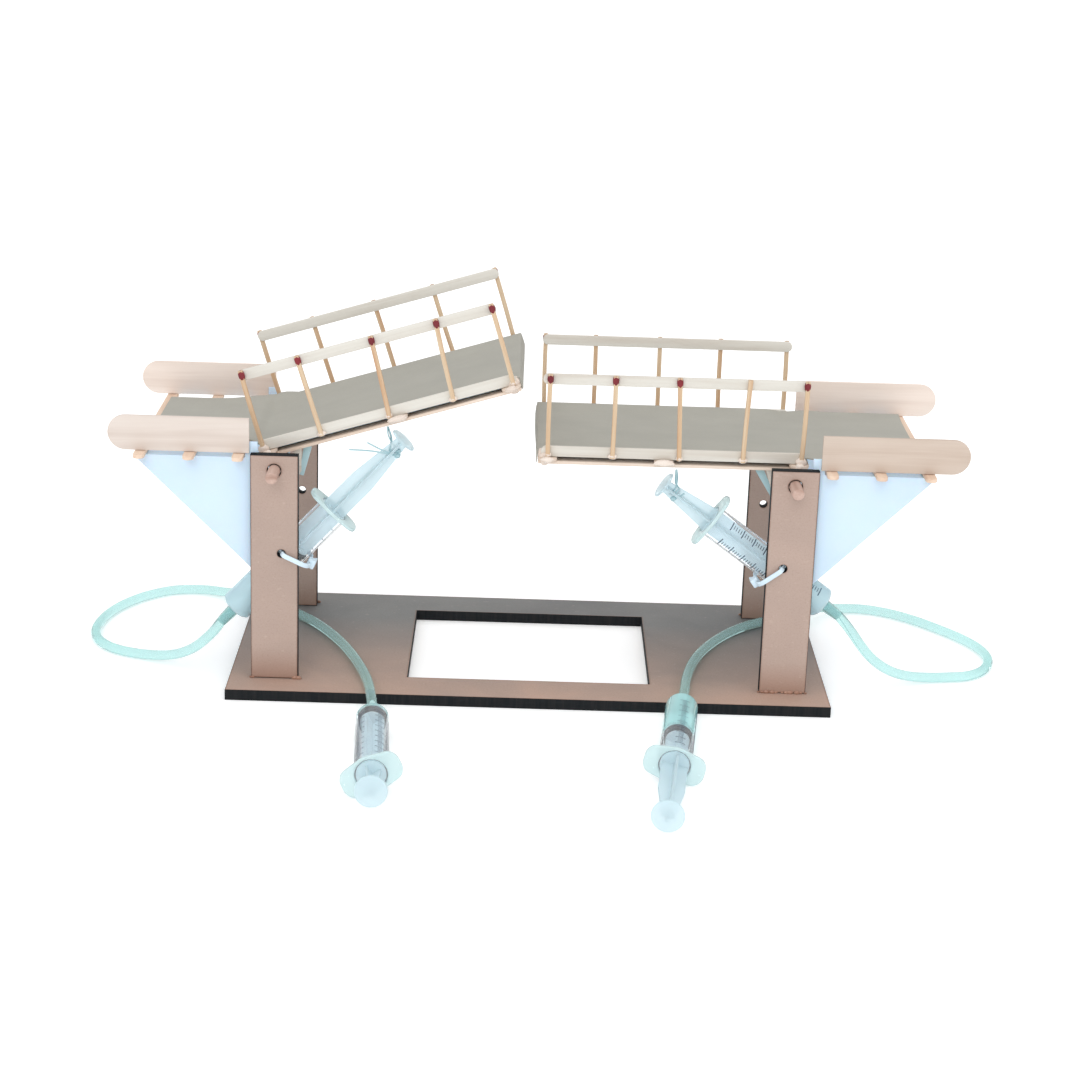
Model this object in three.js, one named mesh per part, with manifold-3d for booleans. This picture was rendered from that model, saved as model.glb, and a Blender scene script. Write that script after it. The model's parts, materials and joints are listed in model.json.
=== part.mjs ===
// Hydraulic lifting bridge kit: a fibreboard base with four towers, two fixed approach ramps and
// two hinged leaves of craft sticks and matches. Each leaf is pushed up by a syringe, which a hose
// joins to a hand syringe on the table in front. Millimetres, +Z up, -Y towards the hand syringes.
import * as THREE from 'three';
import { mergeVertices } from 'three/addons/utils/BufferGeometryUtils.js';
import Module from 'manifold-3d';

const wasm = await Module();
wasm.setup();

// ---- driving dimensions -------------------------------------------------------------------
const GAP = 0.3; // left between glued faces
const BOARD = 5.5; // fibreboard thickness

const BASE = { length: 300, width: 150, holeLength: 122, holeWidth: 100.6 };
const TOWER = { centre: 127.2, width: 23.3, inner: 52.2, top: 121.3 };
const AXLE = { height: 113.6, radius: 3, hole: 3.4, front: 71.5, back: 66 };
const TIE_HOLE = { out: 123.7, height: 71.3, radius: 2 };

// Half jumbo craft sticks stand on edge beside the approach, on three cross sticks.
const SIDE = { height: 17.5, thick: 1.6, y: 54.5, bottom: 121.6, cutFront: 139.5, cutBack: 137.7 };
const APPROACH = {
  sticks: [144.7, 168.5, 192.5], width: 5.5, thick: 2, bottom: 119.3, front: 64, back: 62,
};
const ROAD = { inner: 141.8, outer: 191, bed: [121.6, 123.1], card: [123.4, 124] };
const BRACKET = {
  card: 0.8, y: 53.4, inner: 141.5, outer: 196, top: 119, foot: 62.5,
  earIn: 135.6, earOut: 141.6, earTop: 125.6,
};

// Leaf: u runs from the axle to the leaf's tip, w up from the axle, both at the level pose.
const LEAF = { tip: 126, heel: -6, deck: [7.4, 10.4], deckHeel: -4, deckHalf: 41.3, lip: 0.8 };
const LONG_STICK = { width: 18, thick: 1.6, w: 3.6, y: 34 };
const CROSS_STICK = { at: [-2.9, 63.9, 121.4], width: 9.6, thick: 1.6, w: 5.5, half: 47 };
const RAIL = { y: 41.6, thick: 1.4, height: 5.4, lower: 7.4, upper: 43.9, heel: -5.3, tip: 124.7 };
const MATCH = { size: 2.2, foot: 7.7, length: 41.6, sunk: 0.15 };
const SLEEVE = { inner: 3.35, outer: 4.3, half: 22, glue: [-3.4, 1.2], glueStart: 0.4, glueShort: 1 };

// Ten millilitre syringes, measured along their axis from the flange's rear face. length is the
// barrel's, reach is from the thumb rest to the seal's nose, and disc is the thumb rest's radius.
const SLAVE_KIND = { length: 73, reach: 85, disc: 7.1 };
const MASTER_KIND = { length: 77, reach: 96, disc: 7.8 };
const BARREL = { radius: 8, bore: 7.3, wall: 1.2, tip: 10, tipRadius: 1.9, tipBore: 0.9 };
const SHOULDER = 1.2; // chamfer at the front of the barrel
const TIP_TAPER = 0.25;
const FLANGE = { span: 29, height: 18, thick: 1.8, wing: 12.5, chamfer: 2.4, corner: 3, step: 0.4 };
const PLUNGER = {
  discThick: 1.3, rib: 1.2, wide: 12, narrow: 5.4, taper: 30, seat: 6.4, seatThick: 1.5,
};
const SEAL = { length: 7, radius: 7.05, groove: 6.3, lip: 1.3, slope: 0.5, nose: 1.4 };

// The leaf's thumb rest, and the distance from the tie to the syringe's axis.
const ANCHOR = { u: 64, w: -4.8, loopU: 57.5, loopHalf: 5.6, loopBottom: -17, strap: 1, width: 2.2 };
const SLAVE = { y: 43.5, offset: 5 };
const TIE = {
  width: 2.2, thick: 0.9, tilt: 18 * Math.PI / 180, head: [4.6, 4.6, 4], headY: 51.2, headZ: -15.6,
};
const HOSE = { radius: 2.5, sides: 8, gap: 0.45, endGap: 0.3 };
const LIFT = { flange: 0.2, shoulder: 0.15 }; // of a hand syringe off the table

// Each bank is built as the left one, its river side towards +X. The right one is turned half round.
const LEFT = {
  name: 'left', turn: 0, front: -1, open: 17 * Math.PI / 180,
  sideEnd: 208.3, roadHalf: 39, flange: 31.5,
  // foot and head of each hand-set match along the leaf
  matches: {
    front: [[-4.3, -3.6], [25.4, 24.9], [60, 62.4], [92.6, 95], [123, 123]],
    back: [[-3.6, -4], [25.3, 24.4], [58.6, 57.8], [90.6, 89.4], [123, 123]],
  },
  master: { x: -70.1, y: -189.5, yaw: -3.3, roll: 27, out: 20.8 },
  route: [
    [-158.9, -43.4, 24.8], [-163.6, -42.2, 19.6], [-169.3, -39, 14], [-176.8, -34, 8.8], [-185.5, -28, 4.9],
    [-195.5, -23, 3], [-206, -19, 2.6], [-216, -13, 2.6], [-224, -3, 2.6], [-228.3, 10, 2.6],
    [-228.6, 25, 2.6], [-225.5, 41, 2.6], [-219, 57, 2.6], [-209, 71, 2.6], [-196, 80.5, 2.6],
    [-181.5, 82.5, 2.6], [-168.5, 76, 3.8], [-158.5, 66, 6.6], [-150, 56, 8.2], [-140.5, 46.5, 8.2],
    [-131, 38.5, 8.2], [-121.5, 29, 8.2], [-110.8, 14.8, 8.2], [-98, -9, 8.2], [-88, -35, 8.2],
    [-80.6, -62, 8.2], [-77, -85, 8.2],
  ],
};
const RIGHT = {
  name: 'right', turn: Math.PI, front: 1, open: 0,
  sideEnd: 211.9, roadHalf: 44.5, flange: 41.5,
  matches: {
    front: [[-3.6, -4.4], [25.2, 23.5], [56.6, 58], [89.5, 89.2], [121.3, 121.1]],
    back: [[-2.6, -2.6], [31.6, 31.8], [63.4, 63.6], [97, 97.1], [123, 123.2]],
  },
  master: { x: 67.4, y: -164, yaw: 5.8, roll: -14, out: 59.6 },
  route: [
    [158.6, -43.5, 38.4], [162.8, -43.2, 33], [167.2, -42.4, 26.8], [172.6, -40.6, 20.2], [179.4, -37.2, 14],
    [187.6, -32, 8.6], [197, -26.4, 4.8], [207, -22, 2.9], [217, -20, 2.6], [227, -17.6, 2.6],
    [235.6, -10.4, 2.6], [241, 0, 2.6], [242.8, 12, 2.6], [240.2, 26, 2.6], [233.4, 39.8, 2.6],
    [224, 53, 2.6], [213, 66, 2.6], [200, 77, 2.6], [186, 83, 2.6], [172, 81.4, 3.2], [161, 73, 6],
    [152.6, 62.6, 8.2], [144.8, 53.4, 8.2], [135.6, 47, 8.2], [124.4, 40, 8.2], [112.4, 29.4, 8.2],
    [98.2, 9, 8.2], [86.6, -17, 8.2], [80, -46, 8.2], [77.9, -64, 8.2],
  ],
};

// ---- colours ------------------------------------------------------------------------------
const finish = {
  fibreboard: { color: 0xa9806a, roughness: 0.75 },
  dowel: { color: 0xc9a48a, roughness: 0.7 },
  stick: { color: 0xd9c3ab, roughness: 0.7 },
  match: { color: 0xd6ad84, roughness: 0.7 },
  whiteCard: { color: 0xd8ecf4, roughness: 0.8 },
  greyCard: { color: 0x9b9a92, roughness: 0.9 },
  clear: { color: 0xc4dbe0, roughness: 0.2 },
  rubber: { color: 0x16181b, roughness: 0.5 },
  nylon: { color: 0xd2dfe4, roughness: 0.4 },
  hose: { color: 0x8fb9b8, roughness: 0.25 },
};

// ---- helpers ------------------------------------------------------------------------------
function node(name, geometry, look, parent) {
  const material = new THREE.MeshStandardMaterial({ metalness: 0, ...finish[look] });
  const mesh = new THREE.Mesh(geometry, material);
  mesh.name = name;
  parent.add(mesh);
  return mesh;
}

function toSolid(geometry) {
  const bare = geometry.clone();
  bare.deleteAttribute('normal');
  bare.deleteAttribute('uv');
  const merged = mergeVertices(bare, 1e-4);
  const vertProperties = new Float32Array(merged.attributes.position.array);
  const triVerts = new Uint32Array(merged.index.array);
  return new wasm.Manifold(new wasm.Mesh({ numProp: 3, vertProperties, triVerts }));
}

function toGeometry(solid) {
  const { vertProperties, triVerts } = solid.getMesh();
  const geometry = new THREE.BufferGeometry();
  geometry.setAttribute('position', new THREE.BufferAttribute(new Float32Array(vertProperties), 3));
  geometry.setIndex(new THREE.BufferAttribute(new Uint32Array(triVerts), 1));
  return geometry;
}

function join(...geometries) {
  return toGeometry(geometries.map(toSolid).reduce((sum, part) => sum.add(part)));
}

function block(x, y, z) {
  const geometry = new THREE.BoxGeometry(x[1] - x[0], y[1] - y[0], z[1] - z[0]);
  return geometry.translate((x[0] + x[1]) / 2, (y[0] + y[1]) / 2, (z[0] + z[1]) / 2);
}

// A flat plate standing in the X-Z plane, from its outline in x and z, filling y0 to y1.
function uprightPlate(shape, y0, y1, curveSegments = 8) {
  const plate = new THREE.ExtrudeGeometry(shape, { depth: y1 - y0, bevelEnabled: false, curveSegments });
  return plate.rotateX(Math.PI / 2).translate(0, y1, 0);
}

// A flat plate lying in the X-Y plane, from its outline in x and y, filling z0 to z1.
function flatPlate(shape, z0, z1, curveSegments = 8) {
  const plate = new THREE.ExtrudeGeometry(shape, { depth: z1 - z0, bevelEnabled: false, curveSegments });
  return plate.translate(0, 0, z0);
}

function outline(points) {
  return new THREE.Shape(points.map(([a, b]) => new THREE.Vector2(a, b)));
}

function circleHole(a, b, radius) {
  return new THREE.Path().absarc(a, b, radius, 0, 2 * Math.PI, true);
}

// A strip from a0 to a1, b0 to b1, with a round end of half its height at each end named.
function strip(a0, a1, b0, b1, roundStart, roundEnd) {
  const radius = (b1 - b0) / 2;
  const middle = (b0 + b1) / 2;
  const shape = new THREE.Shape();
  shape.moveTo(roundStart ? a0 + radius : a0, b0);
  shape.lineTo(roundEnd ? a1 - radius : a1, b0);
  if (roundEnd) {
    shape.absarc(a1 - radius, middle, radius, -Math.PI / 2, Math.PI / 2, false);
  } else {
    shape.lineTo(a1, b1);
  }
  shape.lineTo(roundStart ? a0 + radius : a0, b1);
  if (roundStart) {
    shape.absarc(a0 + radius, middle, radius, Math.PI / 2, 1.5 * Math.PI, false);
  }
  return shape;
}

// ---- base and towers ------------------------------------------------------------------------
function basePlate(parent) {
  const { length, width, holeLength, holeWidth } = BASE;
  const rectangle = (l, w) => [[-l / 2, -w / 2], [l / 2, -w / 2], [l / 2, w / 2], [-l / 2, w / 2]];
  const shape = outline(rectangle(length, width));
  shape.holes.push(outline(rectangle(holeLength, holeWidth)));
  node('base_plate', flatPlate(shape, 0, BOARD), 'fibreboard', parent);
}

function towers(bank, side) {
  const left = -TOWER.centre - TOWER.width / 2;
  const right = -TOWER.centre + TOWER.width / 2;
  const foot = BOARD + GAP;
  for (const [place, sign] of [['front', side.front], ['back', -side.front]]) {
    const shape = outline([[left, foot], [right, foot], [right, TOWER.top], [left, TOWER.top]]);
    shape.holes.push(circleHole(-TOWER.centre, AXLE.height, AXLE.hole));
    shape.holes.push(circleHole(-TIE_HOLE.out, TIE_HOLE.height, TIE_HOLE.radius));
    const near = Math.min(sign * TOWER.inner, sign * (TOWER.inner + BOARD));
    node(`${side.name}_tower_${place}`, uprightPlate(shape, near, near + BOARD), 'fibreboard', bank);
  }
}

function axle(bank, side) {
  const length = AXLE.front + AXLE.back;
  const geometry = new THREE.CylinderGeometry(AXLE.radius, AXLE.radius, length, 24);
  const mesh = node(`${side.name}_axle`, geometry, 'dowel', bank);
  mesh.position.set(-TOWER.centre, side.front * (AXLE.front - AXLE.back) / 2, AXLE.height);
}

// ---- fixed approach -------------------------------------------------------------------------
// One white card folded down at both sides: a top panel and two triangular gussets. A tab of each
// gusset stands up behind the side board and reaches over the top of the tower.
function cardBracket(bank, side) {
  const edge = -TOWER.centre - TOWER.width / 2 - GAP;
  const { card, y, inner, outer, top, foot, earIn, earOut, earTop } = BRACKET;
  const overTower = TOWER.top + GAP;
  const gusset = outline([
    [-outer, top], [-outer, top - card], [edge, foot], [edge, overTower],
    [-earIn, overTower], [-earIn, earTop], [-earOut, earTop], [-earOut, top],
  ]);
  const panel = block([-outer, -inner], [-y - card / 2, y + card / 2], [top - card, top]);
  const gussets = [uprightPlate(gusset, y, y + card), uprightPlate(gusset, -y - card, -y)];
  node(`${side.name}_card_bracket`, join(panel, ...gussets), 'whiteCard', bank);
}

function approach(bank, side) {
  const { front, name } = side;
  const half = APPROACH.width / 2;
  APPROACH.sticks.forEach((out, i) => {
    const reach = [front * APPROACH.front, -front * APPROACH.back].sort((a, b) => a - b);
    const shape = strip(reach[0], reach[1], -half, half, true, true);
    const stick = flatPlate(shape, APPROACH.bottom, APPROACH.bottom + APPROACH.thick, 5);
    stick.rotateZ(Math.PI / 2).translate(-out, 0, 0);
    node(`${name}_approach_stick_${i + 1}`, stick, 'stick', bank);
  });
  const wide = side.roadHalf;
  node(`${name}_road_bed`, block([-ROAD.outer, -ROAD.inner], [-wide, wide], ROAD.bed), 'whiteCard', bank);
  node(`${name}_road_card`, block([-ROAD.outer, -ROAD.inner], [-wide, wide], ROAD.card), 'greyCard', bank);
  for (const [place, sign, cut] of [['front', front, SIDE.cutFront], ['back', -front, SIDE.cutBack]]) {
    const shape = strip(-side.sideEnd, -cut, SIDE.bottom, SIDE.bottom + SIDE.height, true, false);
    const near = Math.min(sign * SIDE.y, sign * (SIDE.y + SIDE.thick));
    node(`${name}_side_board_${place}`, uprightPlate(shape, near, near + SIDE.thick, 14), 'stick', bank);
  }
}

// ---- leaf -----------------------------------------------------------------------------------
// One match as a square rod leaning in the railing's plane, from its foot to its head.
function matchStick([foot, head], y) {
  const half = MATCH.size / 2;
  const top = MATCH.foot + MATCH.length;
  const corners = [
    [foot - half, MATCH.foot], [foot + half, MATCH.foot], [head + half, top], [head - half, top],
  ];
  return uprightPlate(outline(corners), y - half, y + half);
}

function railing(leaf, side, place, sign) {
  const { y, thick, height, lower, upper, heel, tip } = RAIL;
  const near = Math.min(sign * y, sign * (y + thick));
  const bar = (w) => uprightPlate(strip(heel, tip, w, w + height, true, true), near, near + thick, 5);
  const matchY = sign * (y + thick + MATCH.size / 2 - MATCH.sunk);
  const posts = side.matches[place].map((ends) => matchStick(ends, matchY));
  node(`${side.name}_railing_${place}`, join(bar(lower), bar(upper), ...posts), 'match', leaf);
}

function leafFloor(leaf, side) {
  const { name } = side;
  for (const [place, sign] of [['front', side.front], ['back', -side.front]]) {
    const low = sign * LONG_STICK.y - LONG_STICK.width / 2;
    const shape = strip(LEAF.heel, LEAF.tip, low, low + LONG_STICK.width, false, false);
    const stick = flatPlate(shape, LONG_STICK.w, LONG_STICK.w + LONG_STICK.thick);
    node(`${name}_long_stick_${place}`, stick, 'stick', leaf);
  }
  CROSS_STICK.at.forEach((u, i) => {
    const half = CROSS_STICK.width / 2;
    const shape = strip(-CROSS_STICK.half, CROSS_STICK.half, -half, half, true, true);
    const stick = flatPlate(shape, CROSS_STICK.w, CROSS_STICK.w + CROSS_STICK.thick, 6);
    node(`${name}_cross_stick_${i + 1}`, stick.rotateZ(Math.PI / 2).translate(u, 0, 0), 'stick', leaf);
  });
  const [bottom, top] = LEAF.deck;
  const tip = LEAF.tip + GAP;
  const profile = outline([
    [LEAF.deckHeel, bottom], [tip, bottom], [tip, CROSS_STICK.w], [tip + LEAF.lip, CROSS_STICK.w],
    [tip + LEAF.lip, top], [LEAF.deckHeel, top],
  ]);
  node(`${name}_deck_card`, uprightPlate(profile, -LEAF.deckHalf, LEAF.deckHalf), 'greyCard', leaf);
}

// Tube that turns on the axle, with the glue that holds it under the heel's cross stick.
function pivotSleeve(leaf, side) {
  const { inner, outer, half, glue, glueStart, glueShort } = SLEEVE;
  const wall = [[inner, -half], [outer, -half], [outer, half], [inner, half], [inner, -half]];
  const tube = new THREE.LatheGeometry(wall.map(([r, h]) => new THREE.Vector2(r, h)), 24);
  const along = half - glueShort;
  const bead = block(glue, [-along, along], [inner + glueStart, CROSS_STICK.w - GAP]);
  node(`${side.name}_pivot_sleeve`, join(tube, bead), 'nylon', leaf);
}

// Tie looped under the thumb rest. It hangs clear of the plunger, as the linkage's open pivot.
function anchorLoop(leaf, side) {
  const { loopU, loopHalf, loopBottom, strap, width } = ANCHOR;
  const middle = side.front * SLAVE.y;
  const top = LONG_STICK.w - GAP;
  const frame = (half, low, high) => [[-half, low], [half, low], [half, high], [-half, high]];
  const shape = outline(frame(loopHalf, loopBottom, top));
  shape.holes.push(outline(frame(loopHalf - strap, loopBottom + strap, top - strap)));
  const loop = uprightPlate(shape, -width / 2, width / 2);
  node(`${side.name}_anchor_loop`, loop.rotateZ(Math.PI / 2).translate(loopU, middle, 0), 'nylon', leaf);
}

// ---- syringes -------------------------------------------------------------------------------
// Syringe parts lie along +X: the rear face of the flange at 0, the tip towards -X.
function flangeOutline() {
  const { span, height, wing, chamfer, corner, step } = FLANGE;
  const shape = new THREE.Shape();
  const reach = span / 2;
  const end = wing / 2 - corner;
  const neck = wing / 2 + step;
  const lean = Math.asin((wing / 2 + chamfer) / (height / 2));
  shape.moveTo(-reach, -end);
  shape.lineTo(-reach + chamfer, -neck);
  shape.absarc(0, 0, height / 2, Math.PI + lean, 2 * Math.PI - lean, false);
  shape.lineTo(reach - chamfer, -neck);
  shape.lineTo(reach, -end);
  shape.lineTo(reach, end);
  shape.lineTo(reach - chamfer, neck);
  shape.absarc(0, 0, height / 2, lean, Math.PI - lean, false);
  shape.lineTo(-reach + chamfer, neck);
  shape.lineTo(-reach, end);
  return shape;
}

// Turns a lathe made about Y, its profile measured back from the flange, to lie along -X.
function latheAlong(profile, segments) {
  const points = profile.map(([r, back]) => new THREE.Vector2(r, back));
  return new THREE.LatheGeometry(points, segments).rotateZ(Math.PI / 2);
}

function barrelGeometry({ length }) {
  const { radius, bore, wall, tip, tipRadius, tipBore } = BARREL;
  const floor = length - wall;
  const tube = latheAlong([
    [bore, 0], [radius, 0], [radius, length - SHOULDER], [radius - SHOULDER, length],
    [tipRadius + TIP_TAPER, length], [tipRadius, length + tip], [tipBore, length + tip], [tipBore, floor],
    [bore, floor], [bore, 0],
  ], 28);
  const plate = flangeOutline();
  plate.holes.push(circleHole(0, 0, (bore + radius) / 2));
  const rim = flatPlate(plate, 0, FLANGE.thick, 14);
  return join(tube, rim.rotateY(-Math.PI / 2).rotateX(Math.PI / 2));
}

// The plunger runs forward from its thumb disc, whose rear face is at 0, to the seat of its seal.
function plungerGeometry({ reach, disc }) {
  const { discThick, rib, wide, narrow, taper, seat, seatThick } = PLUNGER;
  const neck = reach - SEAL.length;
  const round = (radius, thick, front) => {
    const cylinder = new THREE.CylinderGeometry(radius, radius, thick, 24);
    return cylinder.rotateZ(Math.PI / 2).translate(front + thick / 2, 0, 0);
  };
  const fin = outline([
    [-discThick / 2, -narrow / 2], [-discThick / 2, narrow / 2], [-taper, wide / 2],
    [-neck, wide / 2], [-neck, -wide / 2], [-taper, -wide / 2],
  ]);
  const upright = uprightPlate(fin, -rib / 2, rib / 2);
  const level = uprightPlate(fin, -rib / 2, rib / 2).rotateX(Math.PI / 2);
  return join(round(disc, discThick, -discThick), upright, level, round(seat, seatThick, -neck));
}

function sealGeometry({ reach }) {
  const { length, radius, groove, lip, slope, nose } = SEAL;
  const start = reach - length + GAP;
  const shoulder = reach - nose;
  return latheAlong([
    [0, start], [radius, start], [radius, start + lip], [groove, start + lip + slope],
    [groove, shoulder - lip - slope], [radius, shoulder - lip], [radius, shoulder], [radius - nose, reach],
    [0, reach],
  ], 28);
}

function syringe(prefix, frame, kind, out) {
  node(`${prefix}_barrel`, barrelGeometry(kind), 'clear', frame);
  const thumb = new THREE.Group();
  thumb.position.x = out;
  frame.add(thumb);
  node(`${prefix}_plunger`, plungerGeometry(kind), 'clear', thumb);
  node(`${prefix}_seal`, sealGeometry(kind), 'rubber', thumb);
}

// Where the leaf's anchor stands from the tie, and so how the slave syringe leans and reaches.
function slaveAim(open) {
  const u = ANCHOR.u * Math.cos(open) - ANCHOR.w * Math.sin(open);
  const w = ANCHOR.u * Math.sin(open) + ANCHOR.w * Math.cos(open);
  const across = u - (TOWER.centre - TIE_HOLE.out);
  const up = w + AXLE.height - TIE_HOLE.height;
  const distance = Math.hypot(across, up);
  const lean = Math.atan2(up, across) + Math.asin(SLAVE.offset / distance);
  return { lean, reach: Math.sqrt(distance ** 2 - SLAVE.offset ** 2) };
}

// Cable tie through the tower's small hole, round the syringe and back past the tower's edge.
function slaveTie(frame, side) {
  const f = side.front;
  const loop = [
    [15, 49.6], [15.1, 44.5], [14.3, 39.8], [11.2, 36.2], [5.3, 34.2], [-1, 36.3], [-4.6, 42], [-3.7, 47.6],
    [-0.8, 51], [0, 53.2], [0, 56.2], [1.5, 58.9], [6.5, 59.2], [12.2, 59.1], [14.6, 57.2], [14.8, 52.8],
  ];
  const stops = loop.map(([e, y]) => new THREE.Vector3(0, f * y, -e));
  const path = new THREE.CatmullRomCurve3(stops, false, 'centripetal');
  const section = outline([
    [-TIE.thick / 2, -TIE.width / 2], [TIE.thick / 2, -TIE.width / 2],
    [TIE.thick / 2, TIE.width / 2], [-TIE.thick / 2, TIE.width / 2],
  ]);
  const strap = new THREE.ExtrudeGeometry(section, { steps: 48, bevelEnabled: false, extrudePath: path });
  const [hx, hy, hz] = TIE.head;
  const head = new THREE.BoxGeometry(hx, hy, hz).translate(0, f * TIE.headY, TIE.headZ);
  const mesh = node(`${side.name}_slave_tie`, join(strap, head), 'nylon', frame);
  mesh.rotation.y = -TIE.tilt;
}

function slaveSyringe(bank, side) {
  const { lean, reach } = slaveAim(side.open);
  const hub = new THREE.Group();
  hub.position.set(-TIE_HOLE.out, 0, TIE_HOLE.height);
  hub.rotation.y = -lean;
  bank.add(hub);
  slaveTie(hub, side);
  const frame = new THREE.Group();
  frame.position.set(side.flange, side.front * SLAVE.y, -SLAVE.offset);
  hub.add(frame);
  const wings = new THREE.Group();
  wings.rotation.x = Math.PI / 2;
  frame.add(wings);
  syringe(`${side.name}_slave`, wings, SLAVE_KIND, reach - side.flange);
  const end = new THREE.Object3D();
  end.position.x = -SLAVE_KIND.length - BARREL.tip - HOSE.gap;
  frame.add(end);
  return end;
}

// A hand syringe lies on the table on its shoulder and one wing, the thumb rest towards -Y.
function masterSyringe(kit, side) {
  const { x, y, yaw, roll, out } = side.master;
  const radians = Math.PI / 180;
  const tilt = roll * radians;
  const { span, wing, chamfer, step } = FLANGE;
  const wingReach = Math.abs(Math.sin(tilt)) * (span / 2 - chamfer) + Math.cos(tilt) * (wing / 2 + step);
  const flangeHeight = Math.max(FLANGE.height / 2, wingReach) + LIFT.flange;
  const frame = new THREE.Group();
  frame.position.set(x, y, flangeHeight);
  frame.rotation.order = 'ZYX';
  frame.rotation.z = -Math.PI / 2 - yaw * radians;
  frame.rotation.y = Math.asin((BARREL.radius + LIFT.shoulder - flangeHeight) / MASTER_KIND.length);
  frame.rotation.x = tilt;
  kit.add(frame);
  syringe(`${side.name}_master`, frame, MASTER_KIND, out);
  const end = new THREE.Object3D();
  end.position.x = -MASTER_KIND.length - BARREL.tip - HOSE.endGap;
  frame.add(end);
  return end;
}

// ---- hose -----------------------------------------------------------------------------------
function hose(kit, side, slaveEnd, masterEnd) {
  kit.updateMatrixWorld(true);
  const place = (object) => object.getWorldPosition(new THREE.Vector3());
  const route = side.route.map(([x, y, z]) => new THREE.Vector3(x, y, z));
  const stops = [place(slaveEnd), ...route, place(masterEnd)];
  const path = new THREE.CatmullRomCurve3(stops, false, 'centripetal');
  const corners = [];
  for (let i = 0; i < HOSE.sides; i += 1) {
    const angle = (i + 0.5) / HOSE.sides * 2 * Math.PI;
    const corner = [HOSE.radius * Math.cos(angle), HOSE.radius * Math.sin(angle)];
    corners.push(new THREE.Vector2(...corner));
  }
  const section = new THREE.Shape(corners);
  const tube = new THREE.ExtrudeGeometry(section, { steps: 60, bevelEnabled: false, extrudePath: path });
  node(`${side.name}_hose`, tube, 'hose', kit);
}

// ---- assembly -------------------------------------------------------------------------------
function buildBank(kit, side) {
  const bank = new THREE.Group();
  bank.rotation.z = side.turn;
  kit.add(bank);
  towers(bank, side);
  axle(bank, side);
  cardBracket(bank, side);
  approach(bank, side);
  const leaf = new THREE.Group();
  leaf.position.set(-TOWER.centre, 0, AXLE.height);
  leaf.rotation.y = -side.open;
  bank.add(leaf);
  leafFloor(leaf, side);
  railing(leaf, side, 'front', side.front);
  railing(leaf, side, 'back', -side.front);
  pivotSleeve(leaf, side);
  anchorLoop(leaf, side);
  hose(kit, side, slaveSyringe(bank, side), masterSyringe(kit, side));
}

// The origin is the middle of the footprint of everything but the hoses, on the table.
function centre(kit) {
  kit.updateMatrixWorld(true);
  const box = new THREE.Box3();
  kit.traverse((object) => {
    if (object.isMesh && !object.name.endsWith('_hose')) {
      box.union(new THREE.Box3().setFromObject(object, true));
    }
  });
  kit.position.set(-(box.min.x + box.max.x) / 2, -(box.min.y + box.max.y) / 2, 0);
}

const kit = new THREE.Group();
basePlate(kit);
for (const side of [LEFT, RIGHT]) buildBank(kit, side);
centre(kit);

export default kit;
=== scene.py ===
"""Looks of a hydraulic lifting bridge kit: fibreboard towers, craft-stick leaves, syringes and hoses.

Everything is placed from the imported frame. Shapes are written in millimetres in the axes of the part that
they belong to, and put() turns them into metres in the frame.
"""
import json
from math import asin, copysign, cos, exp, pi, radians, sin
from types import SimpleNamespace as Sizes

import bmesh
import bpy
import numpy as np
from mathutils import Matrix, Vector, noise
from mathutils.geometry import tessellate_polygon


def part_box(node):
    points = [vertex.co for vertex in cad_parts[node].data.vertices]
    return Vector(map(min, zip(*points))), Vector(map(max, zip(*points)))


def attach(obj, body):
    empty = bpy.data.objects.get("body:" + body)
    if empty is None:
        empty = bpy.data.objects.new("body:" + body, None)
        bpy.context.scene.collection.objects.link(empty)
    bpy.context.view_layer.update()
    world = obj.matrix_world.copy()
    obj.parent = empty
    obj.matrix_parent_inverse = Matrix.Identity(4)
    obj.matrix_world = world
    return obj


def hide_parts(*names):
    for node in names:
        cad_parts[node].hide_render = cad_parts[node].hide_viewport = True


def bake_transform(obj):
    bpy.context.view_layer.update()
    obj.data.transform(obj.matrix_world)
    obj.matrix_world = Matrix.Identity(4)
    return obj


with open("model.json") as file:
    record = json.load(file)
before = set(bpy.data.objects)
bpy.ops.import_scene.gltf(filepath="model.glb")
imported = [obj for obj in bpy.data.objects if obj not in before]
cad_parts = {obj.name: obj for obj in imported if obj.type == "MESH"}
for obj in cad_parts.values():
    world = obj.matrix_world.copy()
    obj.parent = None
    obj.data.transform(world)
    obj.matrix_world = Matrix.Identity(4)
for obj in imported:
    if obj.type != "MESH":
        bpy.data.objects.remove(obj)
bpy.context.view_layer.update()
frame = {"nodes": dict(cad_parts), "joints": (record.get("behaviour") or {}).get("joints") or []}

MM = 0.001
JOINTS = {j["name"]: j for j in frame["joints"]}
QUARTER = pi / 2

left_hinge, right_hinge = (Vector(JOINTS[f"{b}_leaf_hinge"]["pos_m"]) for b in ("left", "right"))
MIDDLE = (left_hinge + right_hinge) / 2 * Vector((1, 1, 0))


def shift(x, y, z):
    """A move in the frame of so many mm."""
    return Matrix.Translation(Vector((x, y, z)) * MM)


def spot(x, y, z):
    """A move within a shape, in mm."""
    return Matrix.Translation((x, y, z))


def turn(degrees, axis):
    return Matrix.Rotation(radians(degrees), 4, axis)


# ---- camera: where it stood, and how it was turned ----------------------------------------------
# Its place is measured from the point on the table midway between the two hinges.
CAMERA = Sizes(
    from_middle=(-0.00847, -1.18917, 0.44527), yaw=0.60, pitch=17.78, roll=1.93, lens=80.6,
    sensor=36, near=0.05, far=60,
)


def added(name, data):
    """A new object in the scene."""
    made = bpy.data.objects.new(name, data)
    bpy.context.scene.collection.objects.link(made)
    return made


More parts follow.
